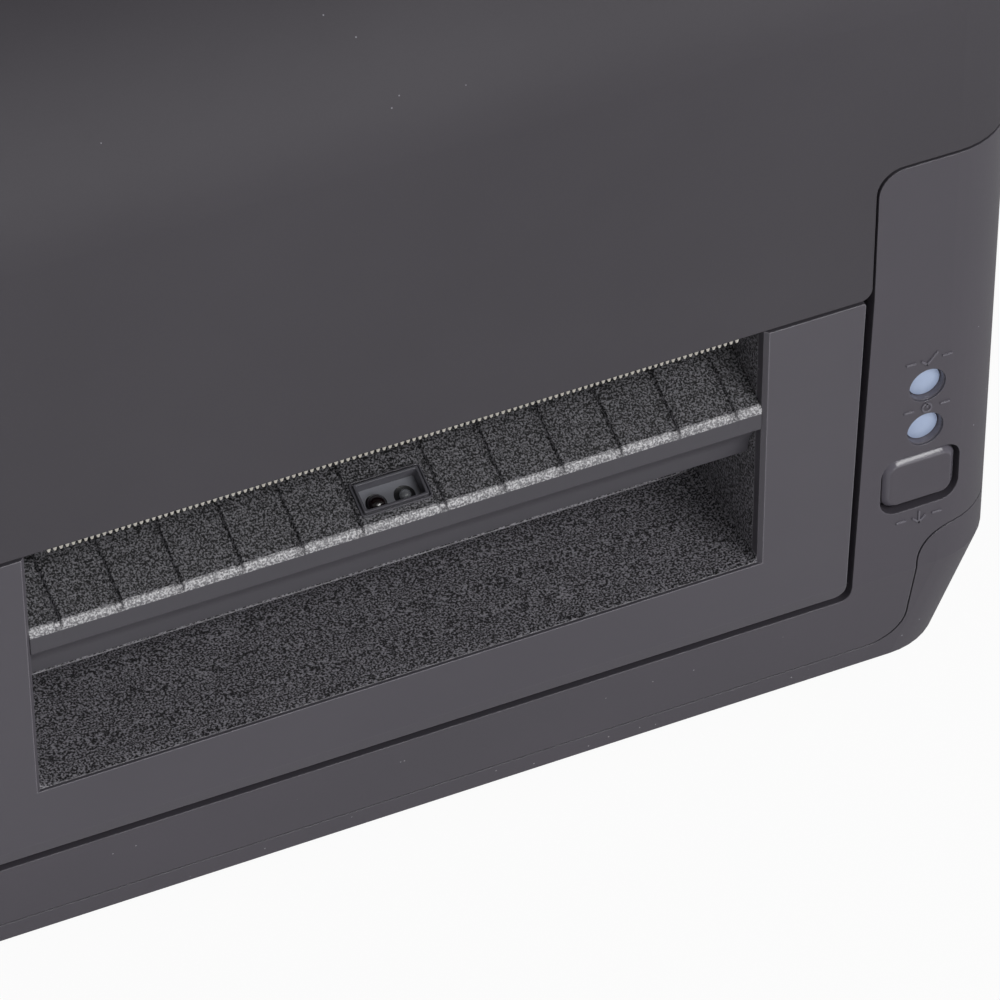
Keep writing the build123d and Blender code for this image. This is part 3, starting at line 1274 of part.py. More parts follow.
def motor_screws():
    """Screws of the motor."""
    places = [(-FRAME_X - FRAME_T, y, z) for y, z in motor_screw_places()]
    return screws_at(places, FRAME_T + 4.0, Rot(0, -90, 0))


def cover_screws():
    """Screws under the cover: four for the carrier and two for the tear bar."""
    carrier = [Pos(x, y, CARRIER_Z) * Rot(180, 0, 0) * screw(CARRIER_SCREW_L) for x, y in CARRIER_POSTS]
    bar_z = CARRIER_Z - TEAR_T
    bar = [Pos(x, y, bar_z) * Rot(180, 0, 0) * screw(TEAR_T + 2.5) for x, y in tear_screw_places()]
    return Compound(children=carrier + bar)


def hinge_screws():
    """Screws of the two hinge brackets."""
    y = REAR - 2 * WALL
    x = BRACKET_X - BRACKET_FLANGE / 2
    places = [(sx * x, y, HINGE_Z - drop) for sx in (-1, 1) for drop in HINGE_SCREW_DROPS]
    return screws_at(places, WALL, Rot(90, 0, 0))


def build_nodes():
    """Every separate piece of the printer by its node name."""
    platen_phase, idler_phase, pinion_phase = drive_phases()
    idler_y, idler_z = idler_place()
    platen_y = FRONT + PLATEN_Y
    motor_y = FRONT + MOTOR_Y
    hub = roll_hub()
    bearing = platen_bearing()
    bracket = hinge_bracket()
    stud = rod_x(IDLER_STUD_R, GEAR_X - 0.3, -FRAME_X, idler_y, idler_z)
    stud += rod_x(1.5 * IDLER_STUD_R, GEAR_X - 0.3 - STUD_HEAD, GEAR_X - 0.3, idler_y, idler_z)
    idler = drive_gear(IDLER_TEETH, idler_phase, idler_y, idler_z, IDLER_STUD_R + RUN_CLEARANCE)
    rubber = rod_x(PLATEN_R, -PLATEN_HALF, PLATEN_HALF, platen_y, PLATEN_Z)
    rubber -= rod_x(SHAFT_R, -PLATEN_HALF - 1, PLATEN_HALF + 1, platen_y, PLATEN_Z)
    return {
        "base_tray": base_tray(),
        "rubber_feet": rubber_feet(),
        "main_case": main_case(),
        "case_screws": case_screws(),
        "front_panel": front_panel(),
        "exit_tray": exit_tray(),
        "exit_guide": exit_guide(),
        "sensor_bezel": sensor_bezel(),
        "sensor_emitter": sensor_lens(-SENSOR_LENS_X),
        "sensor_receiver": sensor_lens(SENSOR_LENS_X),
        "sensor_board": sensor_seat(),
        "side_frame_left": side_frame(-1),
        "side_frame_right": side_frame(1),
        "frame_screws": frame_screws(),
        "platen_bearing_left": mirror(bearing, Plane.YZ),
        "platen_bearing_right": bearing,
        "platen_shaft": rod_x(SHAFT_R, GEAR_X - 1, FRAME_X + FRAME_T + SHAFT_TAIL, platen_y, PLATEN_Z),
        "platen_rubber": rubber,
        "platen_gear": drive_gear(PLATEN_TEETH, platen_phase, platen_y, PLATEN_Z, SHAFT_R),
        "idler_gear": idler,
        "idler_stud": stud,
        "motor_body": motor_body(),
        "motor_shaft": rod_x(MOTOR_SHAFT_R, GEAR_X - 0.5, -FRAME_X + MOTOR_SHAFT_IN - 2, motor_y, MOTOR_Z),
        "motor_pinion": drive_gear(PINION_TEETH, pinion_phase, motor_y, MOTOR_Z, MOTOR_SHAFT_R),
        "motor_screws": motor_screws(),
        "media_bay": media_bay(),
        "media_shelf": media_shelf(),
        "gap_sensor": gap_sensor(),
        "media_guide_left": media_guide(-1),
        "media_guide_right": media_guide(1),
        "guide_pinion": guide_pinion(),
        "roll_hub_left": mirror(hub, Plane.YZ),
        "roll_hub_right": hub,
        "hinge_bracket_left": mirror(bracket, Plane.YZ),
        "hinge_bracket_right": bracket,
        "hinge_pins": hinge_pins(),
        "hinge_screws": hinge_screws(),
        "top_cover": top_cover(),
        "tear_bar": tear_bar(),
        "head_carrier": head_carrier(),
        "cover_screws": cover_screws(),
        "printhead_board": printhead_board(),
        "printhead_sink": printhead_sink(),
        "head_pivot_pins": head_pivot_pins(),
        "head_springs": head_springs(),
        "ready_lens": status_lens(LED_DROPS[0]),
        "power_lens": status_lens(LED_DROPS[1]),
        "control_board": control_board(),
        "control_screws": control_screws(),
        "tact_switch": tact_switch(),
        "feed_button": feed_button(),
        "main_board": main_board(),
        "board_parts": board_parts(),
        "board_screws": board_screws(),
        "io_plate": io_plate(),
        "usb_socket": usb_socket(),
        "network_socket": network_socket(),
        "dc_jack": dc_jack(),
        "switch_housing": switch_housing(),
        "power_rocker": power_rocker(),
    }


os.makedirs("parts", exist_ok=True)
for node_name, shape in build_nodes().items():
    export_step(shape, "parts/" + node_name + ".step")
    print(node_name, round(shape.volume, 1), shape.bounding_box())
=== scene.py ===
"""Looks of a desktop label printer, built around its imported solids.

Lengths in the classes are in millimetres and become metres when a mesh is made.
X points to the operator's right, Y to the rear and Z up, with the origin on the desk.
"""

import json
import logging
import math
from dataclasses import dataclass, field
from enum import Enum
from typing import ClassVar

import bmesh
import bpy
import numpy as np
from mathutils import Matrix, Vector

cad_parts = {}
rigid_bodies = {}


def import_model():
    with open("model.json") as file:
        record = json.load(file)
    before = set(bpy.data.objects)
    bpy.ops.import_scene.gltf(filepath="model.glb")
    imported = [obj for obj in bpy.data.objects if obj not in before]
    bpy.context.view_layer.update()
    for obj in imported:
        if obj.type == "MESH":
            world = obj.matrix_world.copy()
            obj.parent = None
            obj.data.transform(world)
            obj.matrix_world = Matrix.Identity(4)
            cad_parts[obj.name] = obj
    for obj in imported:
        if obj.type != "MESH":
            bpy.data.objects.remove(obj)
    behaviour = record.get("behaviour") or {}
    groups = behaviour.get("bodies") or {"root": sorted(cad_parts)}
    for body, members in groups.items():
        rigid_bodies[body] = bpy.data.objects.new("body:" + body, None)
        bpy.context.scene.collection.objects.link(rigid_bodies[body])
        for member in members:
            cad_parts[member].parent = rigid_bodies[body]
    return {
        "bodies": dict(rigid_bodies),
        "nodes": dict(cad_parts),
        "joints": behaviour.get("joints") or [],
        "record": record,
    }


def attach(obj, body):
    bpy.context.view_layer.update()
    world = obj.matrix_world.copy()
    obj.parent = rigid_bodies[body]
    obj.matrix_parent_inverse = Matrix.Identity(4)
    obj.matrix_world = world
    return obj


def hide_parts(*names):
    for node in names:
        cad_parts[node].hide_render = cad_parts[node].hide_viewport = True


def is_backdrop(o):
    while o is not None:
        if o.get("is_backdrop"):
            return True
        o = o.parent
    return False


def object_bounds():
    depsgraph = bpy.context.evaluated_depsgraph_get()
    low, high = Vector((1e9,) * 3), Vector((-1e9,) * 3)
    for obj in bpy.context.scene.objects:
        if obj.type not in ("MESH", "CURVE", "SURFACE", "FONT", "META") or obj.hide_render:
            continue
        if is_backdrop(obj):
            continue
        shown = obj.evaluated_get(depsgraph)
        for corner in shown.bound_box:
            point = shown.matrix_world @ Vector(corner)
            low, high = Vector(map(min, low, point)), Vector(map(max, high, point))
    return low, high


LOG = logging.getLogger("label_printer")
Tree, Socket, Pieces = bpy.types.NodeTree, bpy.types.NodeSocket, list[bpy.types.Object]
Rows = np.ndarray | list
MM = 0.001
SHARP_DEG = 30.0

# The printer's front face, and heights that several sub-assemblies share.
FRONT = -142.5
PANEL_TOP = 88.5
COLUMN_MID = 91.1

# How the shared shader reads an edge (cosines between its rounded and its flat face), where it gets its gloss
# and painted highlight, patches and a spark texture's painted glints (ranges of the noise), a circuit's
# tracks and stray dust (pitches in millimetres).
# At scale 1 Blender's wave texture repeats about every 0.31 units.
EDGE_FLAT, EDGE_TURNED = 0.998, 0.93
COAT_ROUGHNESS = 0.12
PATCH_RANGE = (0.3, 0.7)
SPARK_GLINT_RANGE = (0.44, 0.63)
WAVE_PERIOD = 0.31
TRACK_PITCH = 1.27
TRACK_GAP, TRACK_ZONE = 0.72, 0.55
DUST_PITCH = 2.6
DUST_REACH = 0.05


# Finishes


class Grain(Enum):
    """How a surface was made, which decides its small relief."""

    SATIN = "moulded in a blasted mould"
    SPARK = "moulded in a spark-eroded mould"
    LINES = "ground or drawn along X"
    SHEET = "rolled, plated or cast"
    BOARD = "glass-fibre board with tracks"


def linear(code: str) -> tuple[float, ...]:
    """Turns an sRGB hex colour into linear RGBA.

    A channel c becomes c / 12.92 up to 0.04045, and ((c + 0.055) / 1.055) ** 2.4 above it.

    Args:
        code: the colour as "#rrggbb".

    Returns:
        Red, green, blue and alpha 1.
    """
    c = np.array([int(code[i:i + 2], 16) for i in (1, 3, 5)]) / 255
    straight = np.where(c <= 0.04045, c / 12.92, ((c + 0.055) / 1.055) ** 2.4)
    return (*straight.tolist(), 1.0)


def add(tree: Tree, kind: str, settings: dict | None = None, links: dict | None = None) -> bpy.types.Node:
    """Adds one shader node.

    Args:
        tree: the node tree it goes into.
        kind: the node's Blender type, without ShaderNode in front.
        settings: property names, or input names or numbers, with their values.
        links: input names or numbers, with the output that feeds each.

    Returns:
        The new node.
    """
    node = tree.nodes.new("ShaderNode" + kind)
    for key, value in (settings or {}).items():
        if isinstance(key, str) and hasattr(node, key):
            setattr(node, key, value)
        else:
            node.inputs[key].default_value = value
    for key, source in (links or {}).items():
        tree.links.new(source, node.inputs[key])
    return node


def blank_tree(owner: bpy.types.Material | bpy.types.World) -> Tree:
    """Gives a material or the world an empty shader tree and returns it."""
    owner.use_nodes = True
    owner.node_tree.nodes.clear()
    return owner.node_tree


def linked(name: str, data: bpy.types.ID) -> bpy.types.Object:
    """Makes an object of a mesh, lamp or camera and puts it into the scene."""
    made = bpy.data.objects.new(name, data)
    bpy.context.scene.collection.objects.link(made)
    return made


@dataclass(frozen=True)
class Finish:
    """One real material and how its surface was made.

    Attributes:
        name: the material's name in a maker's words.
        colour: main colour as sRGB hex.
        second_or_glint: colour of its faint patches or of its tracks, and on a spark texture the pale colour
            of the raised grain, which paints in its glints.
        roughness: mean roughness of the surface.
        grain: how the surface was made.
        grain_mm: real width of one grain, line or pit.
        relief_mm: height of the grain.
        spread: how far the grain moves the roughness either way.
        patch_mm: width of the wide patches, and on a spark texture the width of its painted glints.
        edge_mm: radius of the small round on every edge.
        edge_gloss: roughness on that round, which the mould's polished corners and use leave shinier.
        metallic: 1 on bare metal.
        ior: index of refraction of what isn't metal.
        coat: share of a clear, glossy skin.
        transmission: share of light that goes through.
        speck: colour of stray dust, or empty.
        speck_share: cells of dust grains that are left out, from 0 to 1.
        painted_edge_light: a paler colour painted on the rounded edges for the light that they catch, or
            empty.
    """

    name: str
    colour: str
    second_or_glint: str
    roughness: float
    grain: Grain = Grain.SATIN
    grain_mm: float = 0.3
    relief_mm: float = 0.01
    spread: float = 0.06
    patch_mm: float = 45.0
    edge_mm: float = 0.3
    edge_gloss: float = 0.22
    metallic: float = 0.0
    ior: float = 1.5
    coat: float = 0.0
    transmission: float = 0.0
    speck: str = ""
    speck_share: float = 0.62
    painted_edge_light: str = ""

    def material(self) -> bpy.types.Material:
        """Returns the finish's material, made the first time that it is asked for."""
        known = bpy.data.materials.get(self.name)
        if known is not None and known.get("own_finish"):
            return known
        made = bpy.data.materials.new(self.name)
        made["own_finish"] = True
        made.diffuse_color = linear(self.colour)
        tree = blank_tree(made)
        at = add(tree, "TexCoord").outputs["Object"]
        fine = self.fine(tree, at)
        bevel = add(tree, "Bevel", {"samples": 4, "Radius": self.edge_mm * MM})
        bump = add(tree, "Bump", {"Strength": 1.0, "Distance": self.relief_mm * MM},
                   {"Height": fine, "Normal": bevel.outputs[0]})
        flat = add(tree, "NewGeometry").outputs["Normal"]
        turned = add(tree, "VectorMath", {"operation": "DOT_PRODUCT"},
                     {0: bevel.outputs[0], 1: flat}).outputs["Value"]
        edge = add(tree, "MapRange", {1: EDGE_FLAT, 2: EDGE_TURNED}, {0: turned})
        plain = add(tree, "MapRange", {3: self.roughness - self.spread, 4: self.roughness + self.spread},
                    {0: fine})
        rough = add(tree, "Mix", {"data_type": "FLOAT", 3: self.edge_gloss},
                    {0: edge.outputs[0], 2: plain.outputs[0]})
        colour = self.tint(tree, at)
        # A paler colour on the rounded edges paints in the highlight that they catch.
        if self.painted_edge_light:
            colour = add(tree, "Mix", {"data_type": "RGBA", 7: linear(self.painted_edge_light)},
                         {0: edge.outputs[0], 6: colour}).outputs[2]
        shader = add(tree, "BsdfPrincipled",
                     {"Metallic": self.metallic, "IOR": self.ior, "Coat Weight": self.coat,
                      "Coat Roughness": COAT_ROUGHNESS, "Transmission Weight": self.transmission},
                     {"Base Color": colour, "Roughness": rough.outputs[0], "Normal": bump.outputs[0]})
        add(tree, "OutputMaterial", {}, {"Surface": shader.outputs[0]})
        return made

    def fine(self, tree: Tree, at: Socket) -> Socket:
        """Adds the small relief.

        Args:
            tree: the material's tree.
            at: the object's coordinates.

        Returns:
            The relief's height, from 0 to 1.
        """
        along = (0.02, 1.0, 1.0) if self.grain is Grain.LINES else (1.0, 1.0, 1.0)
        place = add(tree, "Mapping", {"Scale": along}, {"Vector": at}).outputs[0]
        scale = 1 / (self.grain_mm * MM)
        noise = add(tree, "TexNoise", {"Scale": scale, "Detail": 3.0, "Roughness": 0.6},
                    {"Vector": place}).outputs[0]
        if self.grain is not Grain.SPARK:
            return noise
        pits = add(tree, "TexVoronoi", {"Scale": 0.7 * scale}, {"Vector": place}).outputs[0]
        return add(tree, "Math", {"operation": "MULTIPLY_ADD", 1: 0.75}, {0: pits, 2: noise}).outputs[0]

    def tint(self, tree: Tree, at: Socket) -> Socket:
        """Adds the colour with its patches, tracks, stray dust and a spark texture's painted glints.

        Args:
            tree: the material's tree.
            at: the object's coordinates.

        Returns:
            The colour.
        """
        patch = add(tree, "TexNoise", {"Scale": 1 / (self.patch_mm * MM), "Detail": 4.0},
                    {"Vector": at}).outputs[0]
        low, high = SPARK_GLINT_RANGE if self.grain is Grain.SPARK else PATCH_RANGE
        share = add(tree, "MapRange", {1: low, 2: high}, {0: patch}).outputs[0]
        if self.grain is Grain.BOARD:
            bands = add(tree, "TexWave", {"Scale": WAVE_PERIOD / (TRACK_PITCH * MM), "Distortion": 0.0},
                        {"Vector": at}).outputs["Fac"]
            lines = add(tree, "Math", {"operation": "GREATER_THAN", 1: TRACK_GAP}, {0: bands})
            zones = add(tree, "Math", {"operation": "GREATER_THAN", 1: TRACK_ZONE}, {0: share})
            share = add(tree, "Math", {"operation": "MULTIPLY"},
                        {0: lines.outputs[0], 1: zones.outputs[0]}).outputs[0]
        colour = add(tree, "Mix", {"data_type": "RGBA", 6: linear(self.colour), 7: linear(self.second_or_glint)},
                     {0: share}).outputs[2]
        if not self.speck:
            return colour
        cells = add(tree, "TexVoronoi", {"Scale": 1 / (DUST_PITCH * MM)}, {"Vector": at})
        near = add(tree, "Math", {"operation": "LESS_THAN", 1: DUST_REACH},
                   {0: cells.outputs["Distance"]})
        picked = add(tree, "Math", {"operation": "GREATER_THAN", 1: self.speck_share},
                     {0: cells.outputs["Color"]})
        dust = add(tree, "Math", {"operation": "MULTIPLY"},
                   {0: near.outputs[0], 1: picked.outputs[0]})
        return add(tree, "Mix", {"data_type": "RGBA", 7: linear(self.speck)},
                   {0: dust.outputs[0], 6: colour}).outputs[2]


# Charcoal ABS from a finely blasted mould: an even matt, soft wide sheen, a few grains of dust; its colour,
# darker than the case's same ABS, is a painted shade for the upturned cover.
COVER_ABS_SHADED = Finish("matt_cover_abs_painted_shade", "#423f45", "#3e3b41", 0.66, grain_mm=0.35, relief_mm=0.006,
                   speck="#8d8a92", speck_share=0.74)
# The same ABS on the case, from a finer mould: satin, with shiny edges that carry a paler painted highlight.
SATIN_ABS = Finish("satin_charcoal_abs", "#504c54", "#4c4950", 0.45, grain_mm=0.35, relief_mm=0.005,
                   speck="#a9a6ad", painted_edge_light="#66636b")
# The loose front panel, moulded a little lighter, with a pale painted highlight on its edges.
PANEL_ABS = Finish("satin_panel_abs", "#545158", "#504d54", 0.42, grain_mm=0.35, relief_mm=0.005,
                   edge_mm=0.22, speck="#a9a6ad", painted_edge_light="#8f8c94")
# Black ABS from a spark-eroded mould: coarse grain with pale points painted on it as glints, and a pale
# painted highlight on its edges.
SPARK_ABS = Finish("spark_textured_black_abs", "#1a191c", "#a3a1a8", 0.5, Grain.SPARK, 0.36, 0.07,
                   spread=0.12, patch_mm=0.34, painted_edge_light="#b4b2b8")
# The exit guide's top: the same spark texture in a darker, shinier plastic, its pale points painted glints.
GUIDE_ABS = Finish("spark_textured_guide_abs", "#0f0f11", "#858489", 0.42, Grain.SPARK, 0.34, 0.06,
                   spread=0.12, patch_mm=0.3)
# The guide's lip, which the labels rub: the same texture, glossier, in a pale colour with paler peaks that
# paints in the bright highlight the lip catches.
LIP_ABS_PAINTED_HIGHLIGHT = Finish("lip_abs_painted_highlight", "#6b6a6e", "#c4c3c6", 0.26, Grain.SPARK, 0.3, 0.035,
                 spread=0.1, patch_mm=0.32, coat=0.35)
# The sensor's window frame: the guide's plastic from a polished insert, so its rims shine; its mid-grey
# colour, far paler than the guide's, paints in that sheen.
FRAME_ABS_PAINTED_SHEEN = Finish("polished_frame_abs_painted_sheen", "#56555b", "#4e4d53", 0.2, grain_mm=0.3, relief_mm=0.004,
                   edge_mm=0.05, edge_gloss=0.12)
# The guide's strip under the lip: smooth satin, clean from the mould.
STRIP_ABS = Finish("satin_strip_abs", "#4c4a50", "#48464c", 0.42, relief_mm=0.005)
# Polished ABS of the button's chamfer, the lights' collars and the raised marks: glossy, and paler in colour
# as a painted highlight.
CHAMFER_ABS_PAINTED_HIGHLIGHT = Finish("polished_abs_painted_highlight", "#6a6770", "#64616a", 0.18, spread=0.03, relief_mm=0.003)
# Structural black ABS of the inner mouldings: plain and dull.
INNER_ABS = Finish("black_inner_abs", "#26252a", "#222126", 0.55, relief_mm=0.008)
# Natural acetal of gears and bushes: waxy, pale and slightly shiny.
ACETAL = Finish("natural_acetal", "#dcd9d0", "#d2cfc5", 0.38, relief_mm=0.004, ior=1.48)
# Green ABS that marks what the operator moves.
GREEN_ABS = Finish("green_touch_abs", "#3f7a4c", "#3a7346", 0.42, relief_mm=0.006)
# Moulded rubber of the feet: dull, with a powdery bloom.
FOOT_RUBBER = Finish("moulded_foot_rubber", "#1d1d1f", "#232325", 0.85, grain_mm=0.5, relief_mm=0.02)
# Ground silicone rubber of the platen: fine grinding marks, dull black.
PLATEN_RUBBER = Finish("ground_platen_rubber", "#242426", "#2a2a2c", 0.72, grain_mm=0.25, relief_mm=0.015)
# Zinc-plated sheet: bluish grey with a soft mottle.
ZINC_SHEET = Finish("zinc_plated_sheet", "#b4b7b8", "#a5a9ab", 0.34, Grain.SHEET, 0.6, 0.004, metallic=1.0)
# Ground stainless strip of the tear bar: pale, its grinding lines along the blade.
GROUND_STEEL = Finish("ground_stainless_strip", "#fbf7ee", "#f3eee2", 0.35, Grain.LINES, 0.12, 0.004,
                      edge_mm=0.05, metallic=1.0)
# Centreless-ground shaft steel: bright, with fine lines.
SHAFT_STEEL = Finish("ground_shaft_steel", "#c3c4c6", "#b7b8bb", 0.24, Grain.LINES, 0.15, 0.002, metallic=1.0)
# Zinc-plated screws, slightly yellow.
SCREW_STEEL = Finish("zinc_plated_screw", "#b9b6ac", "#aaa79e", 0.3, Grain.SHEET, 0.4, 0.004, metallic=1.0)
# Black-painted motor shell.
MOTOR_BLACK = Finish("black_painted_motor", "#1f2022", "#26272a", 0.45, Grain.SHEET, 0.3, 0.01)
# Turned brass of the motor pinion.
BRASS = Finish("turned_brass", "#c9a14e", "#bd9444", 0.28, Grain.LINES, 0.2, 0.003, metallic=1.0)
# Extruded aluminium of the head's heat sink.
ALUMINIUM = Finish("extruded_aluminium", "#c8cacc", "#bdbfc2", 0.36, Grain.LINES, 0.2, 0.005, metallic=1.0)
# Glazed ceramic of the print head: dark, glassy.
CERAMIC = Finish("glazed_head_ceramic", "#4a3a34", "#43342f", 0.14, relief_mm=0.001, coat=0.6, ior=1.6)
# Green circuit board: solder mask over copper tracks.
BOARD = Finish("green_circuit_board", "#1f5a3a", "#2f7a50", 0.35, Grain.BOARD, 0.4, 0.01, patch_mm=9.0)
# Frosted polycarbonate light pipes, unlit: pale blue, with a polished face.
LIGHT_PIPE = Finish("pale_blue_light_pipe", "#adbbd6", "#9fafce", 0.2, relief_mm=0.001, edge_mm=0.1,
                    coat=0.5, ior=1.58)
# Smoked epoxy of the emitter: almost black, dark red where light gets in.
SMOKED_EPOXY = Finish("smoked_red_epoxy", "#0d0608", "#12070a", 0.08, relief_mm=0.001, edge_mm=0.4,
                      coat=0.8, ior=1.55, painted_edge_light="#6e1420")
# Clear epoxy of the receiver: water-clear grey.
CLEAR_EPOXY = Finish("clear_grey_epoxy", "#b9bcc2", "#aaadb4", 0.06, relief_mm=0.001, edge_mm=0.05,
                     coat=0.8, ior=1.55, transmission=0.6)
# Grey nylon of the sensor's housing.
HOUSING_NYLON = Finish("grey_sensor_housing", "#85868d", "#7b7c83", 0.5, relief_mm=0.006, edge_mm=0.08)
# The wells round the lenses: near black, a painted shade for the holes that the lenses sit in.
WELL_PAINTED_SHADE = Finish("lens_well_painted_shade", "#17171a", "#131316", 0.35, relief_mm=0.004, edge_mm=0.05)
# Gold-flashed contacts.
GOLD = Finish("gold_flashed_contact", "#d9b45a", "#cfa94e", 0.25, Grain.SHEET, 0.3, 0.002, metallic=1.0)


# Shapes


@dataclass
class Shape:
    """Points in millimetres and the faces between them.

    Attributes:
        points: an array of N points.
        faces: each face's point numbers.
    """

    points: np.ndarray
    faces: list[list[int]]

    def placed(self, axes: Rows, origin: list[float]) -> "Shape":
        """Returns a copy with local x, y and z along the rows of axes, moved to origin."""
        return Shape(self.points @ np.asarray(axes, float) + np.asarray(origin, float), self.faces)


def joined(shapes: list[Shape]) -> Shape:
    """Puts several shapes into one.

    Args:
        shapes: the shapes.

    Returns:
        One shape whose faces count their points on from those before.
    """
    starts = np.cumsum([0] + [len(s.points) for s in shapes[:-1]])
    faces = [[int(i + start) for i in face] for start, s in zip(starts, shapes) for face in s.faces]
    return Shape(np.concatenate([s.points for s in shapes]), faces)


def grid_faces(rows: int, cols: int, round_rows: bool = False, round_cols: bool = False) -> np.ndarray:
    """Joins each grid point (i, j) with (i, j + 1), (i + 1, j + 1) and (i + 1, j).

    Args:
        rows: number of rows.
        cols: number of points in a row.
        round_rows: whether the last row joins the first.
        round_cols: whether a row's last point joins its first.

    Returns:
        An array of four point numbers per face.
    """
    i, j = np.meshgrid(np.arange(rows if round_rows else rows - 1),
                       np.arange(cols if round_cols else cols - 1), indexing="ij")
    down, right = (i + 1) % rows, (j + 1) % cols
    return np.stack([i * cols + j, i * cols + right, down * cols + right, down * cols + j], -1).reshape(-1, 4)


def loft(rings: np.ndarray, hollow: bool = False) -> Shape:
    """Joins closed rings one after the other.

    Args:
        rings: an array of rings, each of the same number of points.
        hollow: whether the last ring joins the first; otherwise both ends get a flat cap.

    Returns:
        A closed shape.
    """
    count, size = rings.shape[:2]
    faces = grid_faces(count, size, round_rows=hollow, round_cols=True).tolist()
    if not hollow:
        faces.append(list(range(size))[::-1])
        faces.append(list(range((count - 1) * size, count * size)))
    return Shape(rings.reshape(-1, 3), faces)


def rounded(corners: np.ndarray, radii: np.ndarray, steps: int = 6) -> np.ndarray:
    """Rounds a polygon's corners.

    The arc in a corner touches both edges, so its centre lies on the corner's bisector at
    radius / sin(half the corner's angle), and its points turn evenly from one edge to the other.

    Args:
        corners: an array of corner points in a plane.
        radii: each corner's radius, above 0.
        steps: parts of each arc.

    Returns:
        An array of len(corners) * (steps + 1) points.
    """
    corners, radii = np.asarray(corners, float), np.asarray(radii, float)
    before, after = np.roll(corners, 1, 0) - corners, np.roll(corners, -1, 0) - corners
    before /= np.linalg.norm(before, axis=1, keepdims=True)
    after /= np.linalg.norm(after, axis=1, keepdims=True)
    half = np.arccos(np.clip((before * after).sum(1), -1, 1)) / 2
    middle = before + after
    middle /= np.linalg.norm(middle, axis=1, keepdims=True)
    centre = corners + middle * (radii / np.sin(half))[:, None]
    reach = (radii / np.tan(half))[:, None]
    start, end = corners + before * reach - centre, corners + after * reach - centre
    sweep = (math.pi - 2 * half)[:, None, None]
    t = np.linspace(0, 1, steps + 1)[None, :, None]
    arc = (np.sin((1 - t) * sweep) * start[:, None] + np.sin(t * sweep) * end[:, None]) / np.sin(sweep)
    return (centre[:, None] + arc).reshape(-1, 2)


def rounded_rectangle(width: float, height: float, radius: float, steps: int = 6) -> np.ndarray:
    """Returns the outline of a rectangle about 0 with round corners, as an array of points."""
    corners = np.array([[-1, -1], [1, -1], [1, 1], [-1, 1]]) * np.array([width, height]) / 2
    return rounded(corners, np.full(4, radius), steps)


def stepped_rings(rows: list[tuple[float, float]], width: float, height: float, radius: float,
                  least: float = 0.3) -> np.ndarray:
    """Makes rings of rounded rectangles, each drawn in by an inset at its own depth.

    Args:
        rows: inset and depth of each ring.
        width: width with no inset.
        height: height with no inset.
        radius: corner radius with no inset.
        least: the smallest corner radius.

    Returns:
        An array of rings, in local x, y and depth.
    """
    flat = np.stack([rounded_rectangle(width - 2 * inset, height - 2 * inset, max(radius - inset, least))
                     for inset, _ in rows])
    depth = np.broadcast_to(np.array([d for _, d in rows])[:, None, None], (*flat.shape[:2], 1))
    return np.concatenate([flat, depth], axis=2)


def revolved(profile: Rows, count: int) -> Shape:
    """Turns a profile of radius and height about the local z axis.

    Args:
        profile: rows of radius and height, whose ends have a small radius.
        count: parts of a full turn.

    Returns:
        A closed shape.
    """
    turn = np.arange(count) * 2 * math.pi / count
    radius, height = np.asarray(profile, float).T
    x, y = radius[:, None] * np.cos(turn), radius[:, None] * np.sin(turn)
    return loft(np.stack([x, y, np.broadcast_to(height[:, None], x.shape)], -1))


def front_ring(rows: np.ndarray, x: float, z: float, count: int) -> Shape:
    """Makes a closed ring about an axis along Y.

    Args:
        rows: an array of radius and depth behind the front face, round the ring's section.
        x: the axis's place across.
        z: the axis's height.
        count: parts of a full turn.

    Returns:
        A closed ring.
    """
    turn = np.linspace(0, 2 * math.pi, count, endpoint=False)
    across, up = rows[:, 0, None] * np.cos(turn), rows[:, 0, None] * np.sin(turn)
    back = np.broadcast_to(rows[:, 1, None], across.shape)
    return loft(np.stack([x + across, FRONT + back, z + up], -1), hollow=True)


def on_front(shape: Shape, x: float, z: float) -> Shape:
    """Returns a shape whose local z axis now points out of the front face at x and z."""
    return shape.placed([[1, 0, 0], [0, 0, 1], [0, -1, 0]], [x, FRONT, z])


def bar(low: tuple[float, ...], high: tuple[float, ...], edge: float) -> Shape:
    """Makes a block between two corners with rounded upright edges and drawn-in ends."""
    low, high = np.array(low, float), np.array(high, float)
    size, mid = high - low, (high + low) / 2
    edge = min(edge, 0.2 * float(size.min()))
    rows = [(edge, -size[2] / 2), (0, -size[2] / 2 + edge), (0, size[2] / 2 - edge), (edge, size[2] / 2)]
    block = loft(stepped_rings(rows, size[0], size[1], 1.5 * edge, 0.5 * edge))
    return Shape(block.points + mid, block.faces)


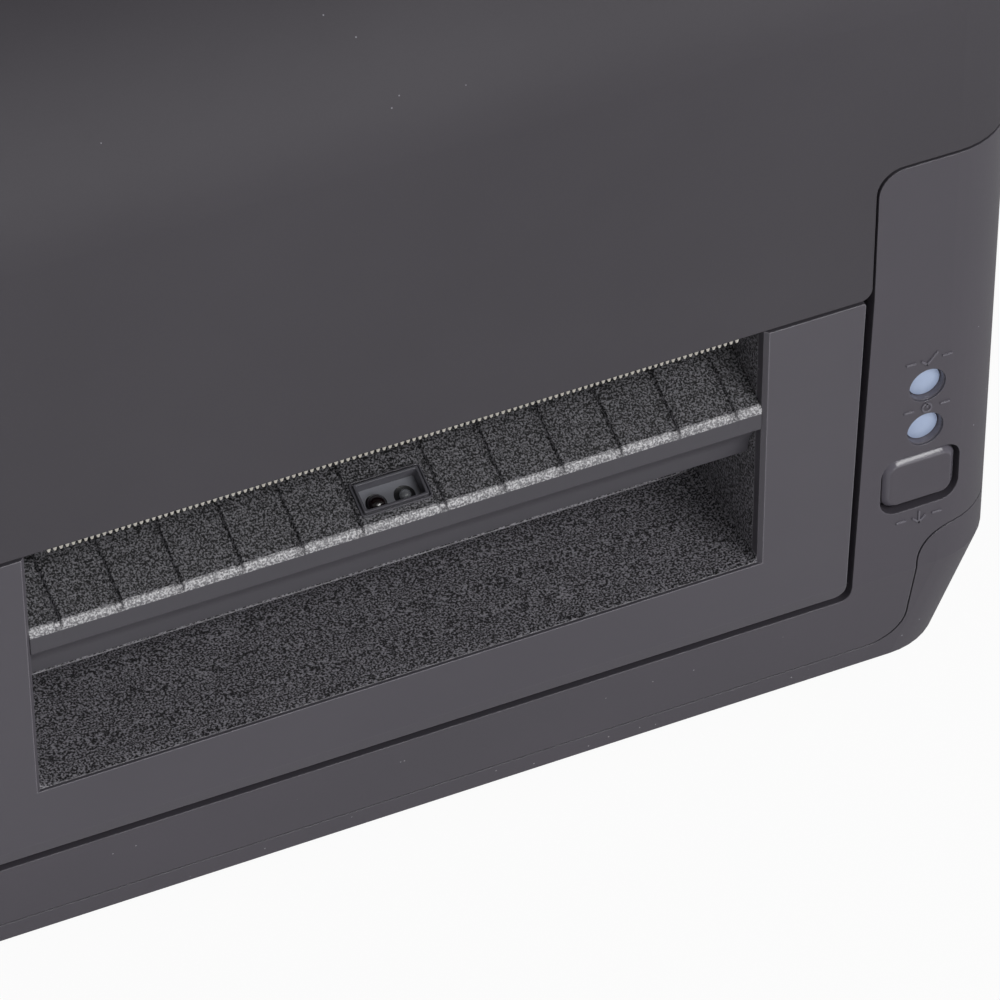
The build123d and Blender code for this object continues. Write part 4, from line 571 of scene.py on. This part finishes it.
def solid(name: str, shape: Shape, finishes: list[Finish], which: np.ndarray | None = None,
          hole: Shape | None = None) -> bpy.types.Object:
    """Puts a shape into a mesh at the origin, its faces outward and its soft edges smooth.

    Args:
        name: the piece's name.
        shape: points in millimetres and faces.
        finishes: the finishes that it wears.
        which: the finish's number for each face.
        hole: a shape that is cut out of it.

    Returns:
        The new object.
    """
    mesh = bpy.data.meshes.new(name)
    mesh.from_pydata((shape.points * MM).tolist(), [], shape.faces)
    for finish in finishes:
        mesh.materials.append(finish.material())
    if which is not None:
        mesh.polygons.foreach_set("material_index", np.asarray(which, np.int32))
    work = bmesh.new()
    work.from_mesh(mesh)
    bmesh.ops.recalc_face_normals(work, faces=work.faces)
    work.to_mesh(mesh)
    work.free()
    made = linked(name, mesh)
    if hole is not None:
        cutter = solid(name + "_cut", hole, finishes[:1])
        cut = made.modifiers.new("cut", "BOOLEAN")
        cut.object, cut.operation, cut.solver = cutter, "DIFFERENCE", "EXACT"
        bpy.context.view_layer.update()
        graph = bpy.context.evaluated_depsgraph_get()
        made.data = bpy.data.meshes.new_from_object(made.evaluated_get(graph))
        made.modifiers.clear()
        bpy.data.objects.remove(cutter)
    made.data.shade_smooth()
    made.data.set_sharp_from_angle(angle=math.radians(SHARP_DEG))
    return made


def fitted(made: bpy.types.Object, body: str, slot: str, *nodes: str) -> bpy.types.Object:
    """Lets a piece ride on its body and hides the nodes that it stands for."""
    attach(made, body)
    if nodes:
        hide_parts(*nodes)
    LOG.info("%s: %d faces on %s", made.name, len(made.data.polygons), body)
    return made


# Sub-assemblies


@dataclass
class SubAssembly:
    """What every sub-assembly shares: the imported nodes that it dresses, and its new pieces."""

    wears: ClassVar[dict[str, Finish]] = {}

    def dress(self, frame: dict) -> None:
        """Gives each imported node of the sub-assembly its finish."""
        for node, finish in self.wears.items():
            for place in frame["nodes"][node].material_slots:
                place.material = finish.material()
            LOG.info("%s: %s", node, finish.name)

    def build(self) -> Pieces:
        """Makes the sub-assembly's new pieces and returns them."""
        return []


@dataclass
class CoverAssembly(SubAssembly):
    """Hinged top cover with its carrier and hinge parts."""

    wears: ClassVar[dict[str, Finish]] = {
        "top_cover": COVER_ABS_SHADED, "head_carrier": INNER_ABS, "cover_screws": SCREW_STEEL,
        "hinge_bracket_left": ZINC_SHEET, "hinge_bracket_right": ZINC_SHEET,
        "hinge_pins": SHAFT_STEEL, "hinge_screws": SCREW_STEEL,
    }


@dataclass
class TearBar(SubAssembly):
    """Saw-edged strip under the cover's front edge."""

    half: float = 58.0
    pitch: float = 1.0
    tooth: float = 1.6
    tip: float = 87.2
    behind: float = 1.4
    thick: float = 0.8
    reach: float = 13.0
    top: float = 108.0
    blunt: float = 0.15
    ease: float = 0.12
    steps: int = 10

    def build(self) -> Pieces:
        """Makes the bar: one section carried along X, whose lower edge follows the teeth.

        The edge's height is the tip plus the tooth's height times d, the distance beyond a tooth's
        blunt end as a share of the way to the gap, with sqrt(d * d + e * e) - e in place of d.
        """
        teeth = round(2 * self.half / self.pitch)
        x = np.linspace(-self.half, self.half, teeth * self.steps + 1)
        off = np.abs((x + self.half) / self.pitch % 1.0 - 0.5)
        beyond = np.clip(off - self.blunt, 0, None) / (0.5 - self.blunt)
        saw = self.tip + self.tooth * (np.sqrt(beyond ** 2 + self.ease ** 2) - self.ease)
        root = self.tip + self.tooth + 0.8
        fixed = np.zeros_like(x)
        rows = [(self.reach, self.top + fixed), (0.5, self.top + fixed), (0.15, self.top - 0.15 + fixed),
                (0.0, self.top - 0.5 + fixed), (0.0, root + fixed), (0.0, saw + 0.08), (0.05, saw),
                (0.22, saw), (0.55, np.minimum(saw + 0.9, root)), (self.thick, root + 0.3 + fixed),
                (self.thick, self.top - self.thick + fixed), (self.reach, self.top - self.thick + fixed)]
        rings = np.stack([np.stack([x, np.full_like(x, FRONT + self.behind + y), z], -1) for y, z in rows], 1)
        made = solid("saw_edge_bar", loft(rings), [GROUND_STEEL])
        return [fitted(made, "cover", "stamped_steel", "tear_bar")]


@dataclass
class ExitGuide(SubAssembly):
    """Ribbed plate that the labels slide over, its rolled lip and the strip below."""

    half: float = 61.8
    depth: float = 24.0
    slope: float = 0.4245
    lip_drop: float = 15.5
    lip_y: float = 0.5
    wall: float = 2.4
    strip: float = 4.4
    under: float = 8.2
    groove_first: float = 7.0
    groove_pitch: float = 10.0
    groove_half: float = 0.72
    groove_deep: float = 0.6
    window: tuple[float, float] = (11.0, 5.2)
    window_y: float = 5.2
    steps: int = 8

    def height(self, y: float) -> float:
        """Returns the top surface's height at a distance y behind the front face."""
        return PANEL_TOP - self.lip_drop + self.slope * (y - self.lip_y)

    def axes(self) -> np.ndarray:
        """Returns unit vectors across, up along and square to the sloping top surface."""
        tilt = math.atan(self.slope)
        c, s = math.cos(tilt), math.sin(tilt)
        return np.array([[1, 0, 0], [0, c, s], [0, -s, c]])

    def on_slope(self, shape: Shape, x: float, y: float) -> Shape:
        """Returns a shape moved from local coordinates onto the sloping surface."""
        return shape.placed(self.axes(), [x, FRONT + y, self.height(y)])

    def section(self) -> np.ndarray:
        """Returns the plate's closed section as an array of y from the front face and z."""
        lip, strip = self.lip_y, self.height(self.lip_y) - self.strip
        low = strip - self.under
        inner = lip + self.wall + 1.0
        corners = [(self.depth, self.height(self.depth)), (lip, self.height(lip)), (lip, strip),
                   (lip + 1.0, strip - 0.5), (lip + 3.6, low + 4.1), (lip + 4.6, low),
                   (lip + 4.6 + self.wall, low), (inner, strip + 1.0),
                   (inner, self.height(inner) - self.wall), (self.depth, self.height(self.depth) - self.wall)]
        radii = np.array([0.2, 1.3, 0.4, 0.25, 6.0, 0.3, 0.3, 4.0, 0.3, 0.3])
        line = rounded(np.array(corners), radii, self.steps)
        end = 2 * (self.steps + 1)
        return np.insert(line, end, line[end - 1] - np.array([0.0, 0.3]), axis=0)

    def build(self) -> Pieces:
        """Makes the plate: its section carried along X and sunk where a groove runs.

        A groove's depth falls from full at 0.5 of its half width to nothing at its edge as
        a smooth step, and along the section it fades out at the foot of the lip.
        """
        section = self.section()
        size = len(section)
        run = np.roll(section, -1, 0) - np.roll(section, 1, 0)
        inward = np.stack([-run[:, 1], run[:, 0]], -1)
        inward /= np.linalg.norm(inward, axis=1, keepdims=True)
        mask = np.zeros(size)
        mask[:2 * (self.steps + 1)] = 1.0
        pairs = np.arange(self.groove_first, self.half, self.groove_pitch)
        lines = np.concatenate([-pairs[::-1], pairs])
        spots = np.array([0, 0.25, 0.5, 0.6, 0.7, 0.8, 0.9, 1.0, 1.25]) * self.groove_half
        spots = np.concatenate([-spots[:0:-1], spots])
        plain = np.linspace(-self.half, self.half, 50)
        x = np.unique(np.concatenate([plain, (lines[:, None] + spots).ravel()]))
        off = np.abs(x[:, None] - lines[None]).min(1) / self.groove_half
        t = np.clip((1.0 - off) / 0.5, 0, 1)
        sunk = self.groove_deep * t * t * (3 - 2 * t)
        flat = section[None] + inward[None] * (sunk[:, None] * mask[None])[..., None]
        rings = np.concatenate([np.broadcast_to(x[:, None, None], (len(x), size, 1)), flat], -1)
        rings[..., 1] += FRONT
        shape = loft(rings)
        row = np.arange(size)
        # Rows of the lip's rounding wear the lip finish, whose pale colour is a painted highlight.
        wears = np.where(row <= self.steps, 0, np.where(row <= 2 * self.steps + 1, 1, 2))
        which = np.concatenate([np.tile(wears, len(x) - 1), [2, 2]])
        hole = loft(stepped_rings([(0, -12.0), (0, 3.0)], *self.window, 0.5))
        made = solid("ribbed_exit_guide", shape, [GUIDE_ABS, LIP_ABS_PAINTED_HIGHLIGHT, STRIP_ABS], which,
                     self.on_slope(hole, 0, self.window_y))
        return [fitted(made, "base", "textured_plastic", "exit_guide")]


@dataclass
class LabelSensor(SubAssembly):
    """Window frame, housing and two lenses of the label sensor."""

    wears: ClassVar[dict[str, Finish]] = {"sensor_board": BOARD}
    guide: ExitGuide = field(default_factory=ExitGuide)
    width: float = 12.0
    length: float = 6.2
    rise: float = 0.7
    rim: float = 1.0
    sink: float = 1.5
    lens_r: float = 1.5
    lens_x: float = 2.4
    forward: float = 0.7
    foot: float = 2.75
    well_r: float = 1.76

    def frame(self) -> Shape:
        """Returns the window frame: a low outer rim, a groove, and a higher inner rim with round edges."""
        top, r = self.rise, self.rim
        rows = [(0, -0.2), (0, 0.5 * top), (0.06, 0.6 * top), (0.2, 0.6 * top), (0.28, 0.5 * top),
                (0.3, 0.1 * top), (0.5, 0.1 * top), (0.53, 0.86 * top), (0.6, top), (r - 0.16, top),
                (r - 0.06, 0.9 * top), (r, 0.7 * top), (r, -2.2), (r - 0.4, -2.2)]
        return loft(stepped_rings(rows, self.width, self.length, 0.7, 0.3), hollow=True)

    def dome(self, radius: float, squat: float) -> Shape:
        """Returns a lens: a squat half ball on a short cylinder that stands at the sink depth."""
        turn = np.linspace(0.02, math.pi / 2, 14)
        top = np.stack([radius * np.sin(turn), squat * radius * np.cos(turn) - self.sink], -1)
        foot = np.array([[radius, -self.foot], [0.1, -self.foot]])
        return revolved(np.concatenate([top, foot]), 40)

    def well(self, seat: float) -> Shape:
        """Returns a lens's shallow dark well, whose floor lies at the depth seat."""
        r = self.well_r
        rows = np.array([(0.1, 0.02), (r - 0.14, 0.02), (r - 0.06, 0.06), (r, 0.0), (r, -0.4), (0.1, -0.4)])
        return revolved(rows - [0, seat], 40)

    def build(self) -> Pieces:
        """Makes the frame, the flat housing inside it, the wells and the two lenses."""
        y, front = self.guide.window_y, self.guide.window_y - self.forward
        place = self.guide.on_slope
        # The frame's mid-grey colour paints in the sheen of its rims.
        frame = solid("sensor_window_frame", place(self.frame(), 0, y), [FRAME_ABS_PAINTED_SHEEN])
        seat = self.sink + 0.1
        inside = [(0, -2.3), (0, -seat - 0.1), (0.1, -seat)]
        floor = loft(stepped_rings(inside, self.width - 1.4, self.length - 1.4, 0.4))
        housing = solid("sensor_housing", place(floor, 0, y), [HOUSING_NYLON])
        wells = joined([place(self.well(seat), side * self.lens_x, front) for side in (-1, 1)])
        # The wells' near-black colour is painted shade.
        rims = solid("sensor_lens_wells", wells, [WELL_PAINTED_SHADE])
        dark = place(self.dome(self.lens_r, 0.75), -self.lens_x, front)
        dark = solid("smoked_lens", dark, [SMOKED_EPOXY])
        clear = place(self.dome(0.68 * self.lens_r, 0.9), self.lens_x, front)
        clear = solid("clear_lens", clear, [CLEAR_EPOXY])
        return [fitted(frame, "base", "textured_plastic", "sensor_bezel"),
                fitted(housing, "base", "inner_plastic"),
                fitted(rims, "base", "inner_plastic"),
                fitted(dark, "base", "smoked_lens", "sensor_emitter"),
                fitted(clear, "base", "smoked_lens", "sensor_receiver")]


@dataclass
class FrontPanel(SubAssembly):
    """Loose front panel and the open recess behind it."""

    wears: ClassVar[dict[str, Finish]] = {"front_panel": PANEL_ABS, "exit_tray": SPARK_ABS}
    half: float = 61.8
    floor: float = 40.3
    rise: float = 1.2
    start: float = 0.7
    depth: float = 24.0
    round_r: float = 1.3

    def build(self) -> Pieces:
        """Makes the hollow rounds between the recess floor and its side walls.

        The round's section is a quarter circle whose centre lies at its radius from both faces,
        closed through the corner, and it rises with the floor.
        """
        r = self.round_r
        turn = np.linspace(math.pi, 1.5 * math.pi, 10)
        arc = np.stack([r + r * np.cos(turn), r + r * np.sin(turn)], -1)
        section = np.concatenate([arc, [[r, -0.3], [-0.3, -0.3], [-0.3, r]]])
        ends = np.array([[self.start, 0.0], [self.depth, self.rise * self.depth / (self.depth - 0.6)]])
        made = []
        for side, name in ((1, "right"), (-1, "left")):
            x = side * (self.half - section[:, 0])
            z = self.floor + section[:, 1]
            rings = np.stack([np.stack([x, np.full_like(x, FRONT + y), z + up], -1) for y, up in ends])
            piece = solid(f"recess_round_{name}", loft(rings), [SPARK_ABS])
            made.append(fitted(piece, "base", "textured_plastic"))
        return made


@dataclass
class Case(SubAssembly):
    """Main case with its columns and chin, base tray and feet."""

    wears: ClassVar[dict[str, Finish]] = {
        "main_case": SATIN_ABS, "base_tray": SATIN_ABS, "rubber_feet": FOOT_RUBBER,
        "case_screws": SCREW_STEEL,
    }


@dataclass
class StatusLights(SubAssembly):
    """Two domed light pipes and their collars in the right column."""

    x: float = COLUMN_MID
    heights: tuple[float, float] = (67.5, 58.3)
    radius: float = 3.25
    recess: float = 0.8
    dome: float = 0.7
    collar: float = 0.34

    def build(self) -> Pieces:
        """Makes both pipes and collars: the face's depth grows with the square of the radius."""
        inner = self.radius - self.collar
        r = np.linspace(0.02, inner - 0.12, 16)
        face = np.stack([r, -(self.recess + self.dome * (r / self.radius) ** 2)], -1)
        back = np.array([[inner - 0.08, -1.9], [inner - 0.08, -4.0], [inner - 0.3, -4.05],
                         [inner - 0.3, -14.0], [0.1, -14.0]])
        pipe = revolved(np.concatenate([face, back]), 64)
        made = []
        for node, z in zip(("ready_lens", "power_lens"), self.heights):
            piece = solid(node.replace("lens", "light_pipe"), on_front(pipe, self.x, z), [LIGHT_PIPE])
            made.append(fitted(piece, "base", "status_lens", node))
            # The collar's paler colour paints in the highlight on the recess wall.
            ring = solid(node.replace("lens", "light_collar"), self.sleeve(z), [CHAMFER_ABS_PAINTED_HIGHLIGHT])
            made.append(fitted(ring, "base", "case_plastic"))
        return made

    def sleeve(self, z: float) -> Shape:
        """Makes the polished collar round a face at height z: its inside widens towards the front."""
        r, inner = self.radius, self.radius - self.collar
        rows = np.array([(r - 0.02, 4.0), (r - 0.02, 0.3), (r - 0.1, 0.35), (inner + 0.04, 1.35),
                         (inner, 1.5), (inner, 4.0)])
        return front_ring(rows, self.x, z, 64)


@dataclass
class FeedButton(SubAssembly):
    """Bevelled feed button in the right column."""

    x: float = 90.7
    z: float = 47.7
    width: float = 13.0
    height: float = 10.1
    corner: float = 2.6
    face: float = 0.1
    bevel: float = 1.0
    flange_y: float = 3.3
    flange_t: float = 1.2
    stem_r: float = 2.0
    stem_end: float = 8.6

    def build(self) -> Pieces:
        """Makes the cap with its rounded bevel and shallow dish, the flange and the stem."""
        f, b = self.face, self.bevel
        rows = [(0, -self.flange_y - 0.3), (0, -f - b - 0.18), (0.03, -f - b - 0.06), (0.1, -f - b + 0.06),
                (b - 0.1, -f - 0.14), (b, -f - 0.05), (b + 0.14, -f), (b + 0.5, -f - 0.02),
                (2.4, -f - 0.08), (3.6, -f - 0.11), (4.5, -f - 0.12)]
        cap = loft(stepped_rings(rows, self.width, self.height, self.corner))
        flange = bar((-self.width / 2 - 0.9, -self.height / 2 - 1.8, -self.flange_y - self.flange_t),
                     (self.width / 2 + 0.9, self.height / 2 + 1.8, -self.flange_y), 0.2)
        start, end, r = -self.flange_y, -self.stem_end, self.stem_r
        stem = revolved([(0.1, start), (r, start), (r, end + 0.2), (r - 0.2, end), (0.1, end)], 32)
        shape = on_front(joined([cap, flange, stem]), self.x, self.z)
        around = len(rounded_rectangle(1.0, 1.0, 0.3))
        # The chamfer's faces wear the paler polished ABS, whose colour paints in the highlight that the
        # chamfer catches.
        which = np.zeros(len(shape.faces), int)
        which[3 * around:5 * around] = 1
        made = solid("feed_button_cap", shape, [SATIN_ABS, CHAMFER_ABS_PAINTED_HIGHLIGHT], which)
        return [fitted(made, "feed_button", "case_plastic", "feed_button")]


@dataclass
class RaisedMarks(SubAssembly):
    """Generic raised marks beside the lights and under the button."""

    x: float = COLUMN_MID
    stroke: float = 0.42
    rise: float = 0.24
    heights: tuple[float, float, float] = (72.9, 62.9, 39.7)

    def line(self, start: tuple[float, float], end: tuple[float, float]) -> Shape:
        """Makes a raised stroke with round ends.

        Args:
            start: its first point on the column's face, in x and z.
            end: its last point.

        Returns:
            A low stadium whose upper edge is rounded.
        """
        start, end = np.array(start, float), np.array(end, float)
        length = float(np.linalg.norm(end - start)) + self.stroke
        along = (end - start) / np.linalg.norm(end - start)
        half = self.stroke / 2
        rows = [(0, -0.2), (0, 0.5 * self.rise), (0.25 * half, self.rise)]
        flat = loft(stepped_rings(rows, length, self.stroke, 0.96 * half, 0.7 * half))
        axes = [[along[0], 0, along[1]], [along[1], 0, -along[0]], [0, -1, 0]]
        mid = (start + end) / 2
        return flat.placed(axes, [self.x + mid[0], FRONT, mid[1]])

    def ring(self, z: float, radius: float) -> Shape:
        """Makes a raised ring about a point of the column's face at height z."""
        half, rise = self.stroke / 2, self.rise
        side = np.array([(half, 0.2), (half, -0.5 * rise), (0.6 * half, -rise)])
        rows = np.concatenate([side, side[::-1] * [-1, 1]]) + [radius, 0]
        return front_ring(rows, self.x, z, 48)

    def flanked(self, shapes: list[Shape], z: float, x: float = 0.0) -> Shape:
        """Returns marks with a short dash on each side, at height z."""
        return joined(shapes + [self.line((x + side * 2.5, z), (x + side * 4.0, z)) for side in (-1, 1)])

    def build(self) -> Pieces:
        """Makes a tick, a ring with a bar and a feed arrow, each between two dashes."""
        z = self.heights[0]
        foot = (-0.4, z - 0.9)
        ready = self.flanked([self.line((-1.3, z), foot), self.line(foot, (1.4, z + 1.1))], z)
        z = self.heights[1]
        power = self.flanked([self.ring(z, 0.8), self.line((0, z + 0.2), (0, z + 0.95))], z)
        z, x = self.heights[2], -0.4
        feed = self.flanked([self.line((x, z + 1.2), (x, z - 1.0)), self.line((x - 1.1, z), (x, z - 1.1)),
                             self.line((x + 1.1, z), (x, z - 1.1))], z, x)
        shapes = {"raised_ready_mark": ready, "raised_power_mark": power, "raised_feed_arrow": feed}
        # The marks' paler colour paints in the highlight on their edges.
        return [fitted(solid(name, shape, [CHAMFER_ABS_PAINTED_HIGHLIGHT]), "base", "case_plastic")
                for name, shape in shapes.items()]


@dataclass
class RearPlate(SubAssembly):
    """Plate with the sockets, the switch and their contacts."""

    wears: ClassVar[dict[str, Finish]] = {
        "io_plate": SPARK_ABS, "usb_socket": SHAFT_STEEL, "network_socket": INNER_ABS, "dc_jack": INNER_ABS,
        "switch_housing": INNER_ABS, "power_rocker": INNER_ABS,
    }
    face: float = 135.95
    base: float = 11.6
    network_x: float = 42.0
    jack_x: float = -8.0
    contacts: int = 8
    contact_pitch: float = 1.02

    def build(self) -> Pieces:
        """Makes the network socket's eight contacts and the power jack's pin."""
        xs = self.network_x + (np.arange(self.contacts) - (self.contacts - 1) / 2) * self.contact_pitch
        y, z = self.face, self.base + 9.6
        strips = joined([bar((x - 0.2, y - 9.0, z), (x + 0.2, y - 2.2, z + 0.3), 0.04) for x in xs])
        pin = revolved([(0.1, -0.6), (0.7, -0.9), (0.9, -1.4), (0.9, -9.0), (0.1, -9.0)], 24)
        pin = pin.placed([[1, 0, 0], [0, 0, 1], [0, 1, 0]], [self.jack_x, self.face, self.base + 5.5])
        return [fitted(solid("network_contacts", strips, [GOLD]), "base", "brass"),
                fitted(solid("power_jack_pin", pin, [SHAFT_STEEL]), "base", "shaft_steel")]


@dataclass
class PaperDrive(SubAssembly):
    """Side frames, platen roller, gears and stepper motor."""

    wears: ClassVar[dict[str, Finish]] = {
        "side_frame_left": ZINC_SHEET, "side_frame_right": ZINC_SHEET, "frame_screws": SCREW_STEEL,
        "platen_bearing_left": ACETAL, "platen_bearing_right": ACETAL, "platen_shaft": SHAFT_STEEL,
        "platen_rubber": PLATEN_RUBBER, "platen_gear": ACETAL, "idler_gear": ACETAL,
        "idler_stud": SHAFT_STEEL, "motor_body": MOTOR_BLACK, "motor_shaft": SHAFT_STEEL,
        "motor_pinion": BRASS, "motor_screws": SCREW_STEEL,
    }


@dataclass
class MediaBay(SubAssembly):
    """Bay for the roll, its guides, hubs and the sliding sensor."""

    wears: ClassVar[dict[str, Finish]] = {
        "media_bay": INNER_ABS, "media_shelf": INNER_ABS, "gap_sensor": GREEN_ABS,
        "media_guide_left": SPARK_ABS, "media_guide_right": SPARK_ABS, "guide_pinion": ACETAL,
        "roll_hub_left": GREEN_ABS, "roll_hub_right": GREEN_ABS,
    }


@dataclass
class PrintHead(SubAssembly):
    """Thermal print head, its heat sink, pivots and springs."""

    wears: ClassVar[dict[str, Finish]] = {
        "printhead_board": CERAMIC, "printhead_sink": ALUMINIUM, "head_pivot_pins": SHAFT_STEEL,
        "head_springs": SHAFT_STEEL,
    }


@dataclass
class Electronics(SubAssembly):
    """Main board, control board and their parts."""

    wears: ClassVar[dict[str, Finish]] = {
        "main_board": BOARD, "board_parts": INNER_ABS, "board_screws": SCREW_STEEL, "control_board": BOARD,
        "control_screws": SCREW_STEEL, "tact_switch": INNER_ABS,
    }


# Studio


@dataclass(frozen=True)
class Softbox:
    """A rectangular lamp that faces the printer.

    Attributes:
        name: the lamp's name.
        turn: degrees round from the front towards the operator's right.
        rise: degrees above the desk.
        away: distance in metres.
        size: width and height in metres.
        level: how bright it makes a white face that looks at it.
    """

    name: str
    turn: float
    rise: float
    away: float
    size: tuple[float, float]
    level: float

    def place(self, aim: np.ndarray) -> None:
        """Hangs the lamp. A level of 1 takes a power of (pi * distance) ** 2 watts."""
        turn, rise = math.radians(self.turn), math.radians(self.rise)
        out = np.array([math.sin(turn) * math.cos(rise), -math.cos(turn) * math.cos(rise), math.sin(rise)])
        side = np.cross([0, 0, 1], out)
        side /= np.linalg.norm(side)
        lamp = bpy.data.lights.new(self.name, "AREA")
        lamp.shape = "RECTANGLE"
        lamp.size, lamp.size_y = self.size
        lamp.energy = self.level * (math.pi * self.away) ** 2
        matrix = np.eye(4)
        matrix[:3, 0], matrix[:3, 1], matrix[:3, 2] = side, np.cross(out, side), out
        matrix[:3, 3] = aim + out * self.away
        linked(self.name, lamp).matrix_world = Matrix(matrix.tolist())


@dataclass
class Studio:
    """White floor, soft lamps and the camera at the photograph's angle."""

    floor_half: float = 9.0
    ambient: float = 0.17
    seen_white: float = 0.95
    lamps: tuple[Softbox, ...] = (
        Softbox("front_box", 10, 9, 2.2, (2.4, 0.9), 0.52),
        Softbox("upper_strip", 25, 43.5, 1.8, (1.0, 0.2), 0.27),
        Softbox("rear_fill", 190, 25, 3.0, (2.0, 1.2), 0.25),
    )
    aim: tuple[float, float, float] = (0.0, -0.1, 0.08)
    lens: float = 230.7
    tilt: float = 41.59
    turn: float = 24.62
    roll: float = -0.26
    stand: tuple[float, float, float] = (-0.2931, -0.8175, 0.7302)
    sensor: float = 36.0
    clip: tuple[float, float] = (0.05, 60.0)

    def floor(self) -> None:
        """Lays the floor: white, and for the camera partly its own white, so that shadows stay."""
        h = self.floor_half
        mesh = bpy.data.meshes.new("floor")
        mesh.from_pydata([(-h, -h, 0), (h, -h, 0), (h, h, 0), (-h, h, 0)], [], [(0, 1, 2, 3)])
        paper = bpy.data.materials.new("white_floor_paper")
        tree = blank_tree(paper)
        matt = add(tree, "BsdfDiffuse", {"Color": linear("#f2f2f2")})
        glow = add(tree, "Emission", {"Color": (1, 1, 1, 1), "Strength": 1.0})
        seen = add(tree, "Math", {"operation": "MULTIPLY", 1: self.seen_white},
                   {0: self.direct(tree)})
        mix = add(tree, "MixShader", {},
                  {0: seen.outputs[0], 1: matt.outputs[0], 2: glow.outputs[0]})
        add(tree, "OutputMaterial", {}, {"Surface": mix.outputs[0]})
        mesh.materials.append(paper)
        linked("floor", mesh)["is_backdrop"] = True

    def direct(self, tree: Tree) -> Socket:
        """Returns 1 for the camera's own rays and those that come through clear pieces."""
        path = add(tree, "LightPath")
        return add(tree, "Math", {"operation": "MAXIMUM"},
                   {0: path.outputs["Is Camera Ray"], 1: path.outputs["Is Transmission Ray"]}).outputs[0]

    def world(self) -> None:
        """Makes the surroundings: white where the camera sees them, an even grey as light."""
        made = bpy.data.worlds.new("white_studio")
        bpy.context.scene.world = made
        tree = blank_tree(made)
        level = add(tree, "MapRange", {3: self.ambient, 4: 1.0}, {0: self.direct(tree)})
        sky = add(tree, "Background", {"Color": (1, 1, 1, 1)}, {"Strength": level.outputs[0]})
        add(tree, "OutputWorld", {}, {"Surface": sky.outputs[0]})

    def camera(self) -> None:
        """Sets the camera from its tilt, turn and roll.

        Its rows point right, down and forward: right is (cos turn, -sin turn, 0), and forward is
        (sin turn cos tilt, cos turn cos tilt, -sin tilt). The roll turns the first two.
        """
        tilt, turn, roll = (math.radians(a) for a in (self.tilt, self.turn, self.roll))
        right = np.array([math.cos(turn), -math.sin(turn), 0])
        level = math.cos(tilt)
        ahead = np.array([math.sin(turn) * level, math.cos(turn) * level, -math.sin(tilt)])
        down = np.cross(ahead, right)
        c, s = math.cos(roll), math.sin(roll)
        right, down = c * right - s * down, s * right + c * down
        matrix = np.eye(4)
        matrix[:3, 0], matrix[:3, 1], matrix[:3, 2], matrix[:3, 3] = right, -down, -ahead, self.stand
        lens = bpy.data.cameras.new("photo_camera")
        lens.lens, lens.sensor_width = self.lens, self.sensor
        lens.clip_start, lens.clip_end = self.clip
        made = linked("photo_camera", lens)
        made.matrix_world = Matrix(matrix.tolist())
        bpy.context.scene.camera = made

    def build(self) -> None:
        """Sets up the floor, the surroundings, the lamps and the camera."""
        bpy.context.scene.view_settings.view_transform = "Standard"
        self.floor()
        self.world()
        for lamp in self.lamps:
            lamp.place(np.array(self.aim))
        self.camera()


def corners(bounds: tuple) -> list[list[float]]:
    """Returns the lowest and highest corner as plain lists."""
    return [[float(v) for v in corner] for corner in bounds]


def main() -> None:
    """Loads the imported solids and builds, dresses and reports each sub-assembly."""
    logging.basicConfig(level=logging.INFO, format="%(name)s: %(message)s")
    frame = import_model()
    cad = corners(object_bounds())
    guide = ExitGuide()
    parts = [Case(), FrontPanel(), guide, LabelSensor(guide=guide), StatusLights(), FeedButton(),
             RaisedMarks(), TearBar(), CoverAssembly(), RearPlate(), PaperDrive(), MediaBay(), PrintHead(),
             Electronics()]
    for part in parts:
        part.dress(frame)
        for piece in part.build():
            LOG.info("%s built by %s", piece.name, type(part).__name__)
    Studio().build()
    {"cad": cad, "visual": corners(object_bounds())}


if __name__ == "__main__":
    main()
